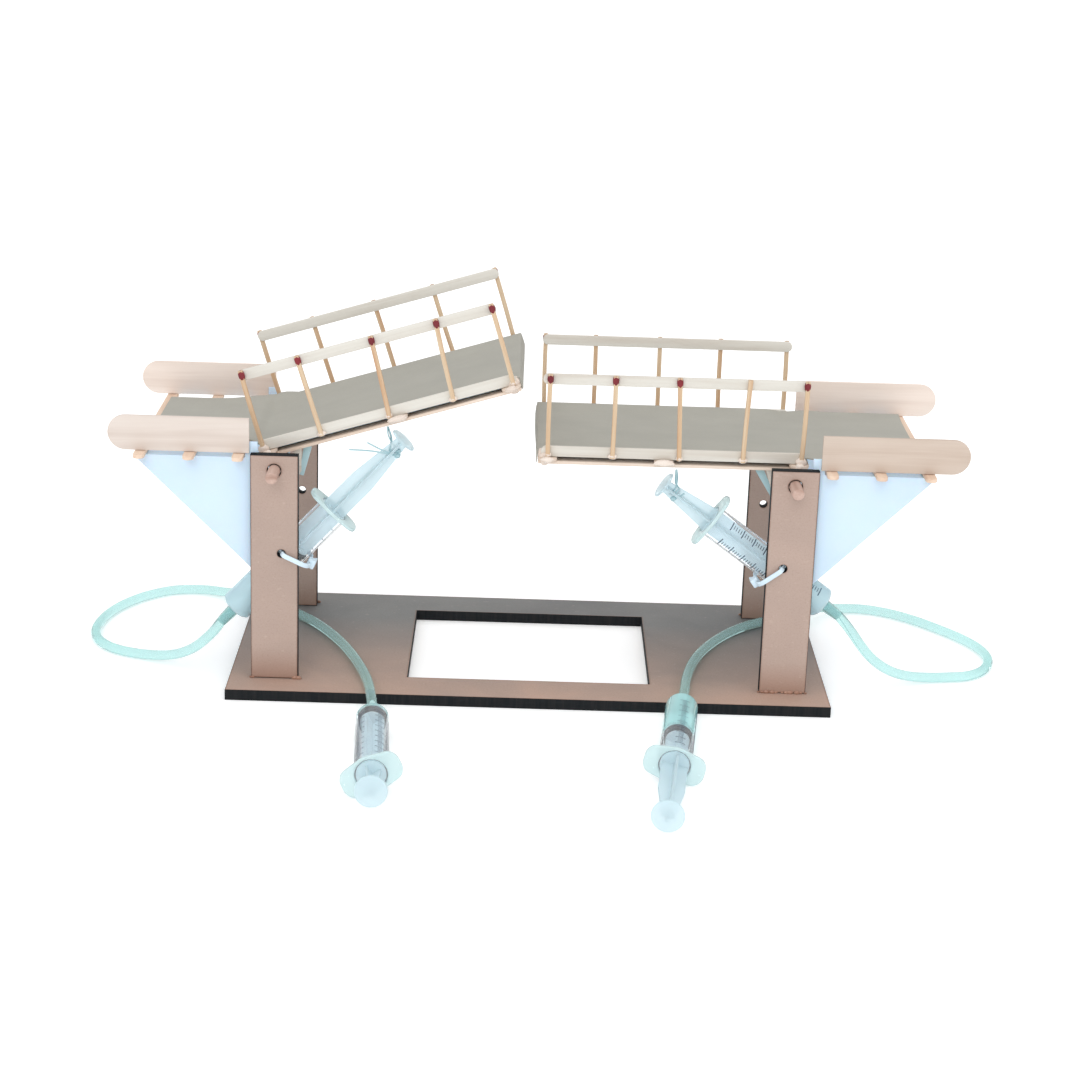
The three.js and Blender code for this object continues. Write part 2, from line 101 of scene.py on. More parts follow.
def make_camera():
    c = CAMERA
    data = bpy.data.cameras.new("camera")
    data.lens, data.sensor_width = c.lens, c.sensor
    data.clip_start, data.clip_end = c.near, c.far
    camera = added("camera", data)
    turned = turn(-c.yaw, "Z") @ turn(90 - c.pitch, "X") @ turn(c.roll, "Z")
    camera.matrix_world = Matrix.Translation(MIDDLE + Vector(c.from_middle)) @ turned
    bpy.context.scene.camera = camera


make_camera()

# ---- the two banks ------------------------------------------------------------------------------
# Each bank has axes of its own: the river towards +X, the hinge at the same place. The right bank is
# turned half round, so its camera side is towards +Y.
HINGE_OUT = (right_hinge.x - left_hinge.x) / 2 / MM
HINGE_UP = left_hinge.z / MM
TIE_UP = JOINTS["left_slave_tilt"]["pos_m"][2] / MM
TIE_OUT = abs(JOINTS["left_slave_tilt"]["pos_m"][0] - MIDDLE.x) / MM

# What differs between the banks.
# flange: the rear face of the slave syringe's flange above its tie. slave_out, master_out: how far a thumb
# rest stands off its flange. slave_rows, master_rows: where the marks are round a barrel, in degrees.
# lies: where the hand syringe is, and how it is turned. lift, road_lift, heel_lift: how far the road's far
# edge stands up on the leaf, on the approach and at the heel. near_heel: the share of the heel's lift that
# the approach takes. flare: how far the tip's fold stands off. ear_top: top of the card's far tab.
# tie_ends: the thin tie's loose ends. foot_glue: the lumps' places along a tower's foot. headless: the
# struck matches. hose: its stops between the two tips, from the middle of the bridge.
SIDES = {
    "left": {
        "turn": 0, "front": -1, "flange": 31.5, "slave_out": 50.06, "master_out": 20.8,
        "slave_rows": (215, 300), "master_rows": (35, 108),
        "lies": {"x": -70.1, "y": -189.5, "yaw": -3.3, "roll": 27},
        "road_half": 39, "lift": 3.0, "heel_lift": 5.2, "near_heel": 0.45, "road_lift": 0, "flare": 0.3,
        "ear_top": 127, "tie_ends": [(-22, 9.6), (-12.5, 10.4)], "foot_glue": (-0.01, 0.04, 0.93, 1.02),
        "headless": (), "hose_length": 0.425,
        "hose": [
            (-158.9, -43.4, 24.8), (-163.6, -42.2, 19.6), (-169.3, -39, 14), (-176.8, -34, 8.8),
            (-185.5, -28, 4.9), (-195.5, -23, 3), (-206, -19, 2.6), (-216, -13, 2.6), (-224, -3, 2.6),
            (-228.3, 10, 2.6), (-228.6, 25, 2.6), (-225.5, 41, 2.6), (-219, 57, 2.6), (-209, 71, 2.6),
            (-196, 80.5, 2.6), (-181.5, 82.5, 2.6), (-168.5, 76, 3.8), (-158.5, 66, 6.6), (-150, 56, 8.2),
            (-140.5, 46.5, 8.2), (-131, 38.5, 8.2), (-121.5, 29, 8.2), (-110.8, 14.8, 8.2), (-98, -9, 8.2),
            (-88, -35, 8.2), (-80.6, -62, 8.2), (-77, -85, 8.2),
        ],
    },
    "right": {
        "turn": 180, "front": 1, "flange": 41.5, "slave_out": 29.5, "master_out": 59.6,
        "slave_rows": (235, 312), "master_rows": (91, 20),
        "lies": {"x": 67.4, "y": -164, "yaw": 5.8, "roll": -14},
        "road_half": 44.5, "lift": 2.8, "heel_lift": 1.8, "near_heel": 1, "road_lift": 1.3, "flare": 0.8,
        "ear_top": 122.8, "tie_ends": [(-2.6, 5.4), (-5.4, 3)],
        "foot_glue": (-0.01, 0.1, 0.19, 0.33, 0.42, 0.5, 0.63, 0.72, 0.84, 0.93, 1.01),
        "headless": (1,), "hose_length": 0.433,
        "hose": [
            (158.6, -43.5, 38.4), (162.8, -43.2, 33), (167.2, -42.4, 26.8), (172.6, -40.6, 20.2),
            (179.4, -37.2, 14), (187.6, -32, 8.6), (197, -26.4, 4.8), (207, -22, 2.9), (217, -20, 2.6),
            (227, -17.6, 2.6), (235.6, -10.4, 2.6), (241, 0, 2.6), (242.8, 12, 2.6), (240.2, 26, 2.6),
            (233.4, 39.8, 2.6), (224, 53, 2.6), (213, 66, 2.6), (200, 77, 2.6), (186, 83, 2.6),
            (172, 81.4, 3.2), (161, 73, 6), (152.6, 62.6, 8.2), (144.8, 53.4, 8.2), (135.6, 47, 8.2),
            (124.4, 40, 8.2), (112.4, 29.4, 8.2), (98.2, 9, 8.2), (86.6, -17, 8.2), (80, -46, 8.2),
            (77.9, -64, 8.2),
        ],
    },
}
# A barrel's length, from its flange, a plunger's reach, from thumb rest to seal, and the rest's radius.
KINDS = {
    "slave": Sizes(length=73, reach=85, disc=7.1),
    "master": Sizes(length=77, reach=96, disc=7.8),
}
BARREL = Sizes(radius=8, bore=7.3, wall=1.2, tip=10, tip_radius=1.9, tip_bore=0.9)
FLANGE = Sizes(span=29, height=18, thick=1.8, wing=12.5, chamfer=2.4, corner=3, step=0.4)
SLAVE_DROP = 5  # its axis below the tie's hole
SLAVE_Y = 43.5
MASTER_CLEAR = {"flange": 0.2, "shoulder": 0.15}  # off the table
HOSE_RADIUS = 2.5
HOSE_GAPS = {"slave": 0.45, "master": 0.3}  # from the tips


def slave_place(name, side):
    """Axes of a slave syringe: +X from the rear of its flange towards its thumb rest."""
    lean = asin(JOINTS[f"{name}_slave_slide"]["axis"][2])
    hub = side["bank"] @ shift(-TIE_OUT, 0, TIE_UP) @ Matrix.Rotation(-lean, 4, "Y")
    side["hub"] = hub
    return hub @ shift(side["flange"], side["front"] * SLAVE_Y, -SLAVE_DROP) @ turn(90, "X")


def master_place(side):
    """Axes of a hand syringe, which lies on the table on its shoulder and one wing."""
    m = side["lies"]
    roll = radians(m["roll"])
    across, up = FLANGE.span / 2 - FLANGE.chamfer, FLANGE.wing / 2 + FLANGE.step
    reach = abs(sin(roll)) * across + cos(roll) * up
    height = max(FLANGE.height / 2, reach) + MASTER_CLEAR["flange"]
    dip = asin((BARREL.radius + MASTER_CLEAR["shoulder"] - height) / KINDS["master"].length)
    at = Matrix.Translation(MIDDLE) @ shift(m["x"], m["y"], height)
    return at @ turn(-90 - m["yaw"], "Z") @ Matrix.Rotation(dip, 4, "Y") @ turn(m["roll"], "X")


for bank_name, bank_side in SIDES.items():
    bank_side["open"] = -JOINTS[f"{bank_name}_leaf_hinge"]["range_deg"][0]
    bank_side["bank"] = Matrix.Translation(MIDDLE) @ turn(bank_side["turn"], "Z")
    bank_side["leaf"] = bank_side["bank"] @ shift(-HINGE_OUT, 0, HINGE_UP) @ turn(-bank_side["open"], "Y")
    bank_side["slave"] = slave_place(bank_name, bank_side)
    bank_side["master"] = master_place(bank_side)


# ---- mesh code ----------------------------------------------------------------------------------
def put(name, shape, place, body, looks, stands_for=(), sharp=38, edge_faces=None, scorch=None):
    """Makes one piece from (vertices in mm, faces), at place, riding on body. Its looks follow the
    piece's own axes, kept in the attribute "own", which starts elsewhere in the grain for each piece."""
    vertices, faces = shape
    own = np.asarray(vertices, float) * MM
    turned = np.array(place)
    mesh = bpy.data.meshes.new(name)
    mesh.from_pydata((own @ turned[:3, :3].T + turned[:3, 3]).tolist(), [], faces)
    seed = sum(ord(c) * (i + 1) for i, c in enumerate(name))
    start = np.array([seed % 17, seed % 23, seed % 29]) * 0.05
    mesh.attributes.new("own", "FLOAT_VECTOR", "POINT").data.foreach_set("vector", (own + start).ravel())
    if scorch is not None:
        mesh.attributes.new("scorch", "FLOAT", "POINT").data.foreach_set("value", scorch)
    for look_name in looks:
        mesh.materials.append(LOOKS[look_name])
    if edge_faces is not None:
        mesh.polygons.foreach_set("material_index", edge_faces)
    work = bmesh.new()
    work.from_mesh(mesh)
    bmesh.ops.remove_doubles(work, verts=work.verts, dist=1e-7)
    bmesh.ops.recalc_face_normals(work, faces=work.faces)
    work.to_mesh(mesh)
    work.free()
    mesh.shade_smooth()
    mesh.set_sharp_from_angle(angle=radians(sharp))
    piece = added(name, mesh)
    if body:
        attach(piece, body)
    if stands_for:
        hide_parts(*stands_for)
    return piece


def fading(piece, axis, start, end):
    """Sets the attribute "fade" from 0 at start to 1 at end, both in metres along an axis of the frame."""
    values = [(v.co[axis] - start) / (end - start) for v in piece.data.vertices]
    piece.data.attributes.new("fade", "FLOAT", "POINT").data.foreach_set("value", values)


def merged(*shapes):
    """Several shapes as one, each still closed."""
    vertices, faces = [], []
    for points, polygons in shapes:
        base = len(vertices)
        vertices += [tuple(p) for p in points]
        faces += [[i + base for i in f] for f in polygons]
    return vertices, faces


def moved(shape, matrix):
    """The shape's points turned and moved, in mm."""
    m = np.array(matrix)
    return np.asarray(shape[0], float) @ m[:3, :3].T + m[:3, 3], shape[1]


def arc(cx, cy, radius, start, end, steps):
    """Points round a circle, angles in turns of a quarter."""
    angles = np.linspace(start * QUARTER, end * QUARTER, steps + 1)
    return [(cx + radius * cos(a), cy + radius * sin(a)) for a in angles]


def circle(cx, cy, radius, steps=32):
    return arc(cx, cy, radius, 0, 4, steps)[:-1]


def strip(length, width, round_low, round_high):
    """Outline of a stick centred on the origin, with round ends where asked."""
    half, r = length / 2, width / 2
    high = arc(half - r, 0, r, -1, 1, 16) if round_high else [(half, -r), (half, r)]
    low = arc(r - half, 0, r, 1, 3, 16) if round_low else [(-half, r), (-half, -r)]
    return high + low


def rectangle(length, width):
    return strip(length, width, False, False)


def inset(loop, amount):
    """The loop moved by amount to its left, into the material."""
    p = np.array(loop, float)
    ahead = np.roll(p, -1, 0) - p
    ahead /= np.linalg.norm(ahead, axis=1)[:, None]
    normal = np.stack([-ahead[:, 1], ahead[:, 0]], 1)
    before = np.roll(normal, 1, 0)
    mitre = (normal + before) / (1 + (normal * before).sum(1))[:, None]
    return p + mitre * amount


def plate(outline, thick, bevel=0.25, holes=(), scorch=0.0):
    """A flat plate in X and Y round Z = 0, with rounded arrises. Returns its shape, which faces are
    its cut edges, and how scorched each point is: the cut's heat browns a rim of the faces."""
    loops = [outline] + [hole[::-1] for hole in holes]
    half = thick / 2
    rings = [(bevel, -half), (bevel * 0.3, bevel * 0.3 - half), (0, bevel - half)]
    rings += [(a, -z) for a, z in reversed(rings)]
    burnt = [1] * len(rings)
    if scorch:
        rings = [(scorch, -half), *rings, (scorch, half)]
        burnt = [0, *burnt, 0]
    vertices, faces, edges, heat = [], [], [], []
    caps = ([], [])
    for loop in loops:
        n, base = len(loop), len(vertices)
        for (amount, z), hot in zip(rings, burnt):
            vertices += [(x, y, z) for x, y in inset(loop, amount)]
            heat += [hot] * n
        for k in range(len(rings) - 1):
            flat = rings[k][1] == rings[k + 1][1]
            for i in range(n):
                j = (i + 1) % n
                a, b = base + k * n, base + (k + 1) * n
                faces.append((a + i, a + j, b + j, b + i))
                edges.append(0 if flat else 1)
        caps[0].append(range(base, base + n))
        caps[1].append(range(base + (len(rings) - 1) * n, base + len(rings) * n))
    for cap in caps:
        order = [i for ring in cap for i in ring]
        found = tessellate_polygon([[Vector((*vertices[i][:2], 0)) for i in ring] for ring in cap])
        faces += [tuple(order[i] for i in triangle) for triangle in found]
        edges += [0] * len(found)
    return (vertices, faces), edges, heat


def bands(rows, n):
    """Quads between rows of n points each, every row closed on itself."""
    return [(i * n + k, i * n + (k + 1) % n, (i + 1) * n + (k + 1) % n, (i + 1) * n + k)
            for i in range(rows - 1) for k in range(n)]


def lathe(profile, segments=48, closed=False):
    """Turns (x, radius) points round the X axis. A point of no radius is on the axis."""
    vertices, faces, rings = [], [], []
    for x, r in profile:
        start = len(vertices)
        if r < 1e-6:
            vertices.append((x, 0, 0))
            rings.append([start] * segments)
            continue
        vertices += [(x, y, z) for y, z in circle(0, 0, r, segments)]
        rings.append(list(range(start, start + segments)))
    pairs = list(zip(rings, rings[1:]))
    if closed:
        pairs.append((rings[-1], rings[0]))
    for a, b in pairs:
        for i in range(segments):
            j = (i + 1) % segments
            corners = [a[i], a[j], b[j], b[i]]
            face = [c for k, c in enumerate(corners) if c not in corners[:k]]
            if len(face) > 2:
                faces.append(face)
    return vertices, faces


def rounded(profile, radius, steps=3):
    """The (x, radius) profile with its corners rounded, apart from its two ends."""
    points = [np.array(p, float) for p in profile]
    out = [points[0]]
    for a, b, c in zip(points, points[1:], points[2:]):
        r = min(radius, np.linalg.norm(b - a) * 0.45, np.linalg.norm(c - b) * 0.45)
        start = b + (a - b) / np.linalg.norm(a - b) * r
        end = b + (c - b) / np.linalg.norm(c - b) * r
        for t in np.linspace(0, 1, steps + 1):
            out.append((1 - t) ** 2 * start + 2 * t * (1 - t) * b + t * t * end)
    out.append(points[-1])
    return [tuple(p) for p in out]


def smooth_path(stops, per=6):
    """Points on the centripetal curve through the stops."""
    p = [Vector(s) for s in stops]
    p = [p[0] * 2 - p[1], *p, p[-1] * 2 - p[-2]]
    out = []
    for a, b, c, d in zip(p, p[1:], p[2:], p[3:]):
        ta, tb, tc = (max((q - r).length, 1e-9) ** 0.5 for q, r in ((b, a), (c, b), (d, c)))
        leave = ((b - a) / ta - (c - a) / (ta + tb) + (c - b) / tb) * tb
        arrive = ((c - b) / tb - (d - b) / (tb + tc) + (d - c) / tc) * tb
        for k in range(per):
            t = k / per
            cube, square = t ** 3, t ** 2
            out.append(
                b * (2 * cube - 3 * square + 1) + leave * (cube - 2 * square + t)
                + c * (3 * square - 2 * cube) + arrive * (cube - square)
            )
    out.append(p[-2])
    return out


def sweep(path, section, up=(0, 0, 1), scale=None):
    """A section of (side, up) points carried along a path, closed at both ends."""
    path = [Vector(p) for p in path]
    vertices = []
    n = len(section)
    lift = Vector(up)
    for i, p in enumerate(path):
        ahead = (path[min(i + 1, len(path) - 1)] - path[max(i - 1, 0)]).normalized()
        lift = (lift - ahead * lift.dot(ahead)).normalized()
        side = ahead.cross(lift)
        size = scale[i] if scale else 1
        vertices += [tuple(p + (side * a + lift * b) * size) for a, b in section]
    ends = [tuple(range(n))[::-1], tuple(range((len(path) - 1) * n, len(path) * n))]
    return vertices, bands(len(path), n) + ends


def soft_square(width, height, corner, steps=3):
    """Section with rounded corners."""
    a, b = width / 2 - corner, height / 2 - corner
    points = []
    for k, (sx, sy) in enumerate(((1, 1), (-1, 1), (-1, -1), (1, -1))):
        points += arc(sx * a, sy * b, corner, k, k + 1, steps)
    return points


def blob(size, seed, rough=0.18):
    """A lump of glue: a squashed ball with a wandering surface, the same for the same seed."""
    rings, segments, vertices = 10, 16, []
    for i in range(rings + 1):
        polar = pi * i / rings
        for k in range(segments):
            angle = 2 * pi * k / segments
            out = sin(polar)
            d = Vector((out * cos(angle), out * sin(angle), cos(polar)))
            swell = 1 + rough * noise.noise(d * 1.7 + Vector((seed * 3.1, seed * 1.7, seed)))
            vertices.append(tuple(d[a] * size[a] / 2 * swell for a in range(3)))
    return vertices, bands(rings + 1, segments)


def span(node, place):
    """Lowest and highest corner of a CAD node in the axes of place, in mm."""
    back = np.array(place.inverted())
    points = np.array([v.co for v in frame["nodes"][node].data.vertices], float)
    points = (points @ back[:3, :3].T + back[:3, 3]) / MM
    return points.min(0), points.max(0)


def lying(node, place):
    """Size of a CAD node, longest first, and its own axes: X along it, Y across and Z through it."""
    low, high = span(node, place)
    size = high - low
    order = np.argsort(-size)
    axes = np.zeros((3, 3))
    for column, axis in enumerate(order):
        axes[axis, column] = 1
    if np.linalg.det(axes) < 0:
        axes[:, 2] *= -1
    middle = (low + high) / 2
    return size[order], place @ shift(*middle) @ Matrix(axes.tolist()).to_4x4()


# ---- materials ----------------------------------------------------------------------------------
def linear(*colors):
    """Colours from their 0 to 255 screen values."""
    return [tuple(c / 255 / 12.92 if c < 11 else ((c / 255 + 0.055) / 1.055) ** 2.4 for c in color)
            for color in colors]


def look(name, color, roughness, **sockets):
    """A new material: itself, its node tree and its shader."""
    made = bpy.data.materials.new(name)
    made.use_nodes = True
    shader = made.node_tree.nodes["Principled BSDF"]
    shader.inputs["Base Color"].default_value = (*color, 1)
    shader.inputs["Roughness"].default_value = roughness
    for socket, value in sockets.items():
        shader.inputs[socket.replace("_", " ")].default_value = value
    return made, made.node_tree, shader


def add(tree, kind, inputs=None, **settings):
    made = tree.nodes.new(kind)
    for key, value in settings.items():
        setattr(made, key, value)
    for key, value in (inputs or {}).items():
        if isinstance(value, bpy.types.NodeSocket):
            tree.links.new(value, made.inputs[key])
        else:
            made.inputs[key].default_value = value
    return made


def own_value(tree, name, output="Fac"):
    """What put() or fading() wrote in the mesh under that name."""
    return add(tree, "ShaderNodeAttribute", attribute_name=name).outputs[output]


def grain(tree, stretch, detail, roughness, distortion=0.0):
    """Noise in the piece's own axes, with that many cells to the metre along X, Y and Z."""
    where = {"Vector": own_value(tree, "own", "Vector"), "Scale": stretch}
    inputs = {"Vector": add(tree, "ShaderNodeMapping", where).outputs["Vector"], "Scale": 1.0,
              "Detail": detail, "Roughness": roughness, "Distortion": distortion}
    return add(tree, "ShaderNodeTexNoise", inputs).outputs["Fac"]


def ramp(tree, factor, *stops):
    """Colours at places from 0 to 1, as (place, colour)."""
    made = add(tree, "ShaderNodeValToRGB", {"Fac": factor})
    elements = made.color_ramp.elements
    while len(elements) < len(stops):
        elements.new(0.5)
    for element, (place, color) in zip(elements, stops):
        element.position = place
        element.color = (*color, 1)
    return made.outputs["Color"]


def mix(tree, factor, a, b):
    """A colour between a and b."""
    a, b = ((*c, 1) if isinstance(c, tuple) else c for c in (a, b))
    return add(tree, "ShaderNodeMix", {0: factor, 6: a, 7: b}, data_type="RGBA").outputs[2]


def level(tree, value, low, high, to_low=0.0, to_high=1.0):
    inputs = {"Value": value, "From Min": low, "From Max": high, "To Min": to_low, "To Max": to_high}
    return add(tree, "ShaderNodeMapRange", inputs).outputs["Result"]


def finished(parts, tone, texture, gloss=None, relief=None):
    """Joins the tone to a look. As its texture goes from low to high, the roughness goes from smooth to
    rough: gloss is (low, high, smooth, rough). relief is the bump's (strength, depth in metres)."""
    made, tree, shader = parts
    tree.links.new(tone, shader.inputs["Base Color"])
    if gloss:
        tree.links.new(level(tree, texture, *gloss), shader.inputs["Roughness"])
    if relief:
        bump = add(tree, "ShaderNodeBump", {"Height": texture, "Strength": relief[0], "Distance": relief[1]})
        tree.links.new(bump.outputs["Normal"], shader.inputs["Normal"])
    return made


def wood(name, pale, mid, dark, contrast):
    """Straight-grained wood, its fibres along the piece's X axis."""
    pale, mid, dark = linear(pale, mid, dark)
    parts = look(name, mid, 0.62)
    tree = parts[1]
    figure = grain(tree, (7, 130, 260), 3, 0.55, 0.6)
    fibre = grain(tree, (45, 1500, 1500), 5, 0.65)
    cloud = grain(tree, (22, 40, 40), 2, 0.5)
    tone = ramp(tree, figure, (0.28, dark), (0.5, mid), (0.72, pale))
    tone = mix(tree, level(tree, fibre, 0.35, 0.75, 0, contrast), tone, dark)
    tone = mix(tree, level(tree, cloud, 0.45, 0.8, 0, 0.45), tone, pale)
    return finished(parts, tone, fibre, (0.2, 0.8, 0.52, 0.77), (0.55, 0.00006))


PALE_FIBRE, BURNT = linear((226, 205, 192), (128, 92, 74))


def fibreboard(name, warm, grey, dark, fade, start, end):
    """Hardboard face: felted fibres, smudges, and a brown rim where the laser cut. Its tone turns to the
    two fade tones as the attribute "fade" goes from start to end."""
    warm, grey, dark, *fade = linear(warm, grey, dark, *fade)
    parts = look(name, warm, 0.68)
    tree = parts[1]
    felt = grain(tree, (1100, 1100, 1100), 5, 0.7)
    fleck = grain(tree, (330, 520, 430), 4, 0.6)
    blotch = level(tree, grain(tree, (14, 16, 14), 4, 0.6, 0.5), 0.3, 0.7)
    along = level(tree, own_value(tree, "fade"), start, end)
    tone = mix(tree, along, mix(tree, blotch, warm, grey), mix(tree, blotch, *fade))
    tone = mix(tree, level(tree, felt, 0.5, 0.8, 0, 0.34), tone, dark)
    tone = mix(tree, level(tree, fleck, 0.62, 0.78, 0, 0.22), tone, PALE_FIBRE)
    burn = {0: own_value(tree, "scorch"), 1: level(tree, fleck, 0.2, 0.8, 0.5, 1.3)}
    wander = add(tree, "ShaderNodeMath", burn, operation="MULTIPLY").outputs[0]
    tone = mix(tree, level(tree, wander, 0.25, 1.05, 0, 0.6), tone, BURNT)
    return finished(parts, tone, felt, (0.3, 0.7, 0.6, 0.8), (0.4, 0.00008))


def charred(name, base, dark, pale):
    """Laser-cut edge: near black, with the board's fine vertical streaks."""
    base, dark, pale = linear(base, dark, pale)
    parts = look(name, base, 0.72, Specular_IOR_Level=0.2)
    streak = grain(parts[1], (900, 900, 40), 4, 0.6)
    return finished(parts, ramp(parts[1], streak, (0.35, dark), (0.75, pale)), streak, None, (0.5, 0.0001))


def card(name, base, shade, fleck=0.25, through=0.0):
    """Card: short random fibres, faint mottling. through: how much light goes through its edge."""
    base, shade = linear(base, shade)
    parts = look(name, base, 0.85, Subsurface_Weight=through, Subsurface_Scale=0.002)
    tree = parts[1]
    fibre = grain(tree, (900, 1400, 1100), 6, 0.75)
    mottle = grain(tree, (35, 50, 40), 4, 0.55)
    tone = mix(tree, level(tree, mottle, 0.35, 0.7, 0, 0.5), base, shade)
    tone = mix(tree, level(tree, fibre, 0.5, 0.75, 0, fleck), tone, shade)
    return finished(parts, tone, fibre, (0.3, 0.7, 0.77, 0.93), (0.35, 0.00005))


def clear(name, tint, roughness, transmission, ior, glow=0.0):
    """Moulded clear plastic, a little cloudy, with handling marks in its gloss. glow is painted light: an
    emission that stands in for the light that reaches it through the plastic round it."""
    tint, = linear(tint)
    parts = look(name, tint, roughness, IOR=ior, Transmission_Weight=transmission,
                 Emission_Color=(*tint, 1), Emission_Strength=glow)
    tree = parts[1]
    scuff = grain(tree, (160, 420, 420), 4, 0.7)
    drift = level(tree, grain(tree, (60, 60, 60), 3, 0.5), 0.35, 0.7, 0, 0.5)
    tone = mix(tree, drift, tint, tuple(min(1, c * 1.06) for c in tint))
    return finished(parts, tone, scuff, (0.4, 0.75, roughness, roughness + 0.1))


def moulded(name, base, shade, roughness, depth=0.00004, **sockets):
    """Opaque plastic, rubber or glue with a fine texture."""
    base, shade = linear(base, shade)
    parts = look(name, base, roughness, **sockets)
    tree = parts[1]
    fine = grain(tree, (1400, 1400, 1400), 4, 0.6)
    tone = mix(tree, level(tree, grain(tree, (90, 90, 90), 3, 0.5), 0.35, 0.7), base, shade)
    return finished(parts, tone, fine, (0.3, 0.7, roughness - 0.06, roughness + 0.1), (0.4, depth))


# A tower's face turns darker and redder towards its foot.
FOOT_TONES = (168, 128, 108), (150, 112, 94)  # towards the foot of a tower
# Painted sheen: the base turns grey towards its back, where the light glances off it.
PAINTED_SHEEN = (130, 130, 128), (115, 115, 115)  # towards the back of the base
LOOKS = {
    "tower": fibreboard("fibreboard_tower", (182, 159, 147), (172, 151, 140), (134, 108, 96),
                        FOOT_TONES, 0.86, 1.08),
    "base": fibreboard("fibreboard_base", (190, 158, 141), (168, 146, 134), (122, 102, 92),
                       PAINTED_SHEEN, 0.06, 0.75),
    "char": charred("charred_edge", (22, 26, 28), (11, 18, 22), (34, 33, 34)),
    "left_board": wood("craft_stick_cream", (222, 212, 204), (217, 205, 196), (204, 190, 180), 0.2),
    "right_board": wood("craft_stick_tan", (208, 193, 180), (200, 183, 169), (186, 166, 150), 0.25),
    # The far boards' stick is painted lighter, to offset the shade they stand in.
    "far_board": wood("craft_stick_painted_light", (236, 222, 212), (230, 215, 204), (216, 198, 186), 0.2),
    "stick": wood("stick_wood", (236, 214, 194), (228, 202, 180), (208, 174, 150), 0.35),
    "leaf_stick": wood("leaf_stick_wood", (230, 214, 200), (222, 204, 188), (202, 180, 162), 0.3),
    "rail": wood("stirrer_wood", (220, 217, 209), (213, 209, 200), (199, 191, 180), 0.25),
    "match": wood("match_wood", (216, 198, 170), (206, 177, 144), (186, 143, 108), 0.5),
    "dowel": wood("dowel_wood", (208, 182, 170), (194, 165, 152), (168, 136, 122), 0.45),
    # The white card is painted pale blue: painted shade.
    "white": card("white_card", (205, 226, 243), (195, 217, 236), through=0.1),
    "grey": card("grey_card", (168, 166, 157), (157, 155, 147), fleck=0.35),
    # The barrel, the pale wet barrel and the plunger glow with painted light.
    "barrel": clear("clear_barrel", (247, 251, 254), 0.04, 0.95, 1.08, 0.035),
    "wet_master": clear("wet_barrel", (216, 252, 253), 0.05, 0.66, 1.13),
    "wet_slave": clear("pale_wet_barrel", (214, 236, 242), 0.08, 0.5, 1.1, 0.02),
    "flange": clear("clear_flange", (222, 242, 243), 0.2, 0.35, 1.13),
    "plunger": clear("clear_plunger", (214, 230, 235), 0.3, 0.5, 1.15, 0.075),
    "hose": clear("clear_hose", (206, 240, 238), 0.06, 0.76, 1.17),
    "rubber": moulded("seal_rubber", (12, 24, 30), (20, 32, 38), 0.6, Specular_IOR_Level=0.1),
    "nylon": moulded("nylon_tie", (214, 232, 244), (206, 225, 238), 0.38),
    "teal": moulded("teal_strip", (172, 202, 208), (150, 186, 194), 0.35),
    "glue": moulded("hot_glue", (230, 217, 206), (219, 202, 189), 0.24),
    "foot": moulded("foot_glue", (176, 136, 116), (140, 100, 82), 0.3),
    "head": moulded("match_head", (132, 38, 46), (98, 26, 36), 0.7, 0.00025),
    "ink": moulded("scale_ink", (58, 74, 94), (80, 98, 116), 0.5),
}


# ---- hoses --------------------------------------------------------------------------------------
def hose(name, side):
    """Clear hose from the slave syringe's tip round behind the tower to the hand syringe's tip."""
    start, end = (side[kind] @ Vector((-(KINDS[kind].length + BARREL.tip + gap) * MM, 0, 0))
                  for kind, gap in HOSE_GAPS.items())
    stops = [MIDDLE + Vector(stop) * MM for stop in side["hose"]]
    path = smooth_path([start, *stops, end])
    vertices, faces = sweep([p / MM for p in path], circle(0, 0, HOSE_RADIUS, 20))
    tube = put(f"{name}_hose_tube", (vertices, faces), Matrix.Identity(4), None, ["hose"],
               [f"{name}_hose"])
    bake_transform(tube)


for bank_name, bank_side in SIDES.items():
    hose(bank_name, bank_side)


# ---- base and towers ----------------------------------------------------------------------------
RIVER = Sizes(length=122, width=100.6)
HOLES = {"axle": 3.4, "tie": 2}  # the towers' holes, by their radius
SCORCHED = {"base": 1.6, "tower": 1.2}  # width of the brown rim
ARRIS = 0.2


def base_board():
    size, place = lying("base_plate", Matrix.Translation(MIDDLE))
    river = [rectangle(RIVER.length, RIVER.width)]
    shape, edges, heat = plate(rectangle(size[0], size[1]), size[2], ARRIS, river, SCORCHED["base"])
    board = put("base_board", shape, place, "root", ["base", "char"], ["base_plate"],
                edge_faces=edges, scorch=heat)
    low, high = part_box("base_plate")
    # painted sheen: the board's tone turns grey towards its back
    fading(board, 1, low.y, high.y)


def tower(node, side):
    low, high = span(node, side["bank"])
    middle, size = (low + high) / 2, high - low
    place = side["bank"] @ shift(*middle) @ turn(90, "X")
    holes = [circle(-out - middle[0], up - middle[2], radius) for out, up, radius in (
        (HINGE_OUT, HINGE_UP, HOLES["axle"]), (TIE_OUT, TIE_UP, HOLES["tie"]))]
    shape, edges, heat = plate(rectangle(size[0], size[2]), size[1], ARRIS, holes, SCORCHED["tower"])
    board = put(f"{node}_board", shape, place, "root", ["tower", "char"], [node],
                edge_faces=edges, scorch=heat)
    fading(board, 2, high[2] * MM, low[2] * MM)


def dowel(name, side):
    """The axle: a planed round with chamfered ends."""
    node = f"{name}_axle"
    size, place = lying(node, side["bank"])
    half, r = size[0] / 2, size[1] / 2
    profile = [(-half, 0), (-half, r - 0.5), (0.5 - half, r - 0.02), (half - 0.5, r - 0.02), (half, r - 0.5),
               (half, 0)]
    put(f"{node}_dowel", lathe(rounded(profile, 0.3), 40), place, "root", ["dowel"], [node])


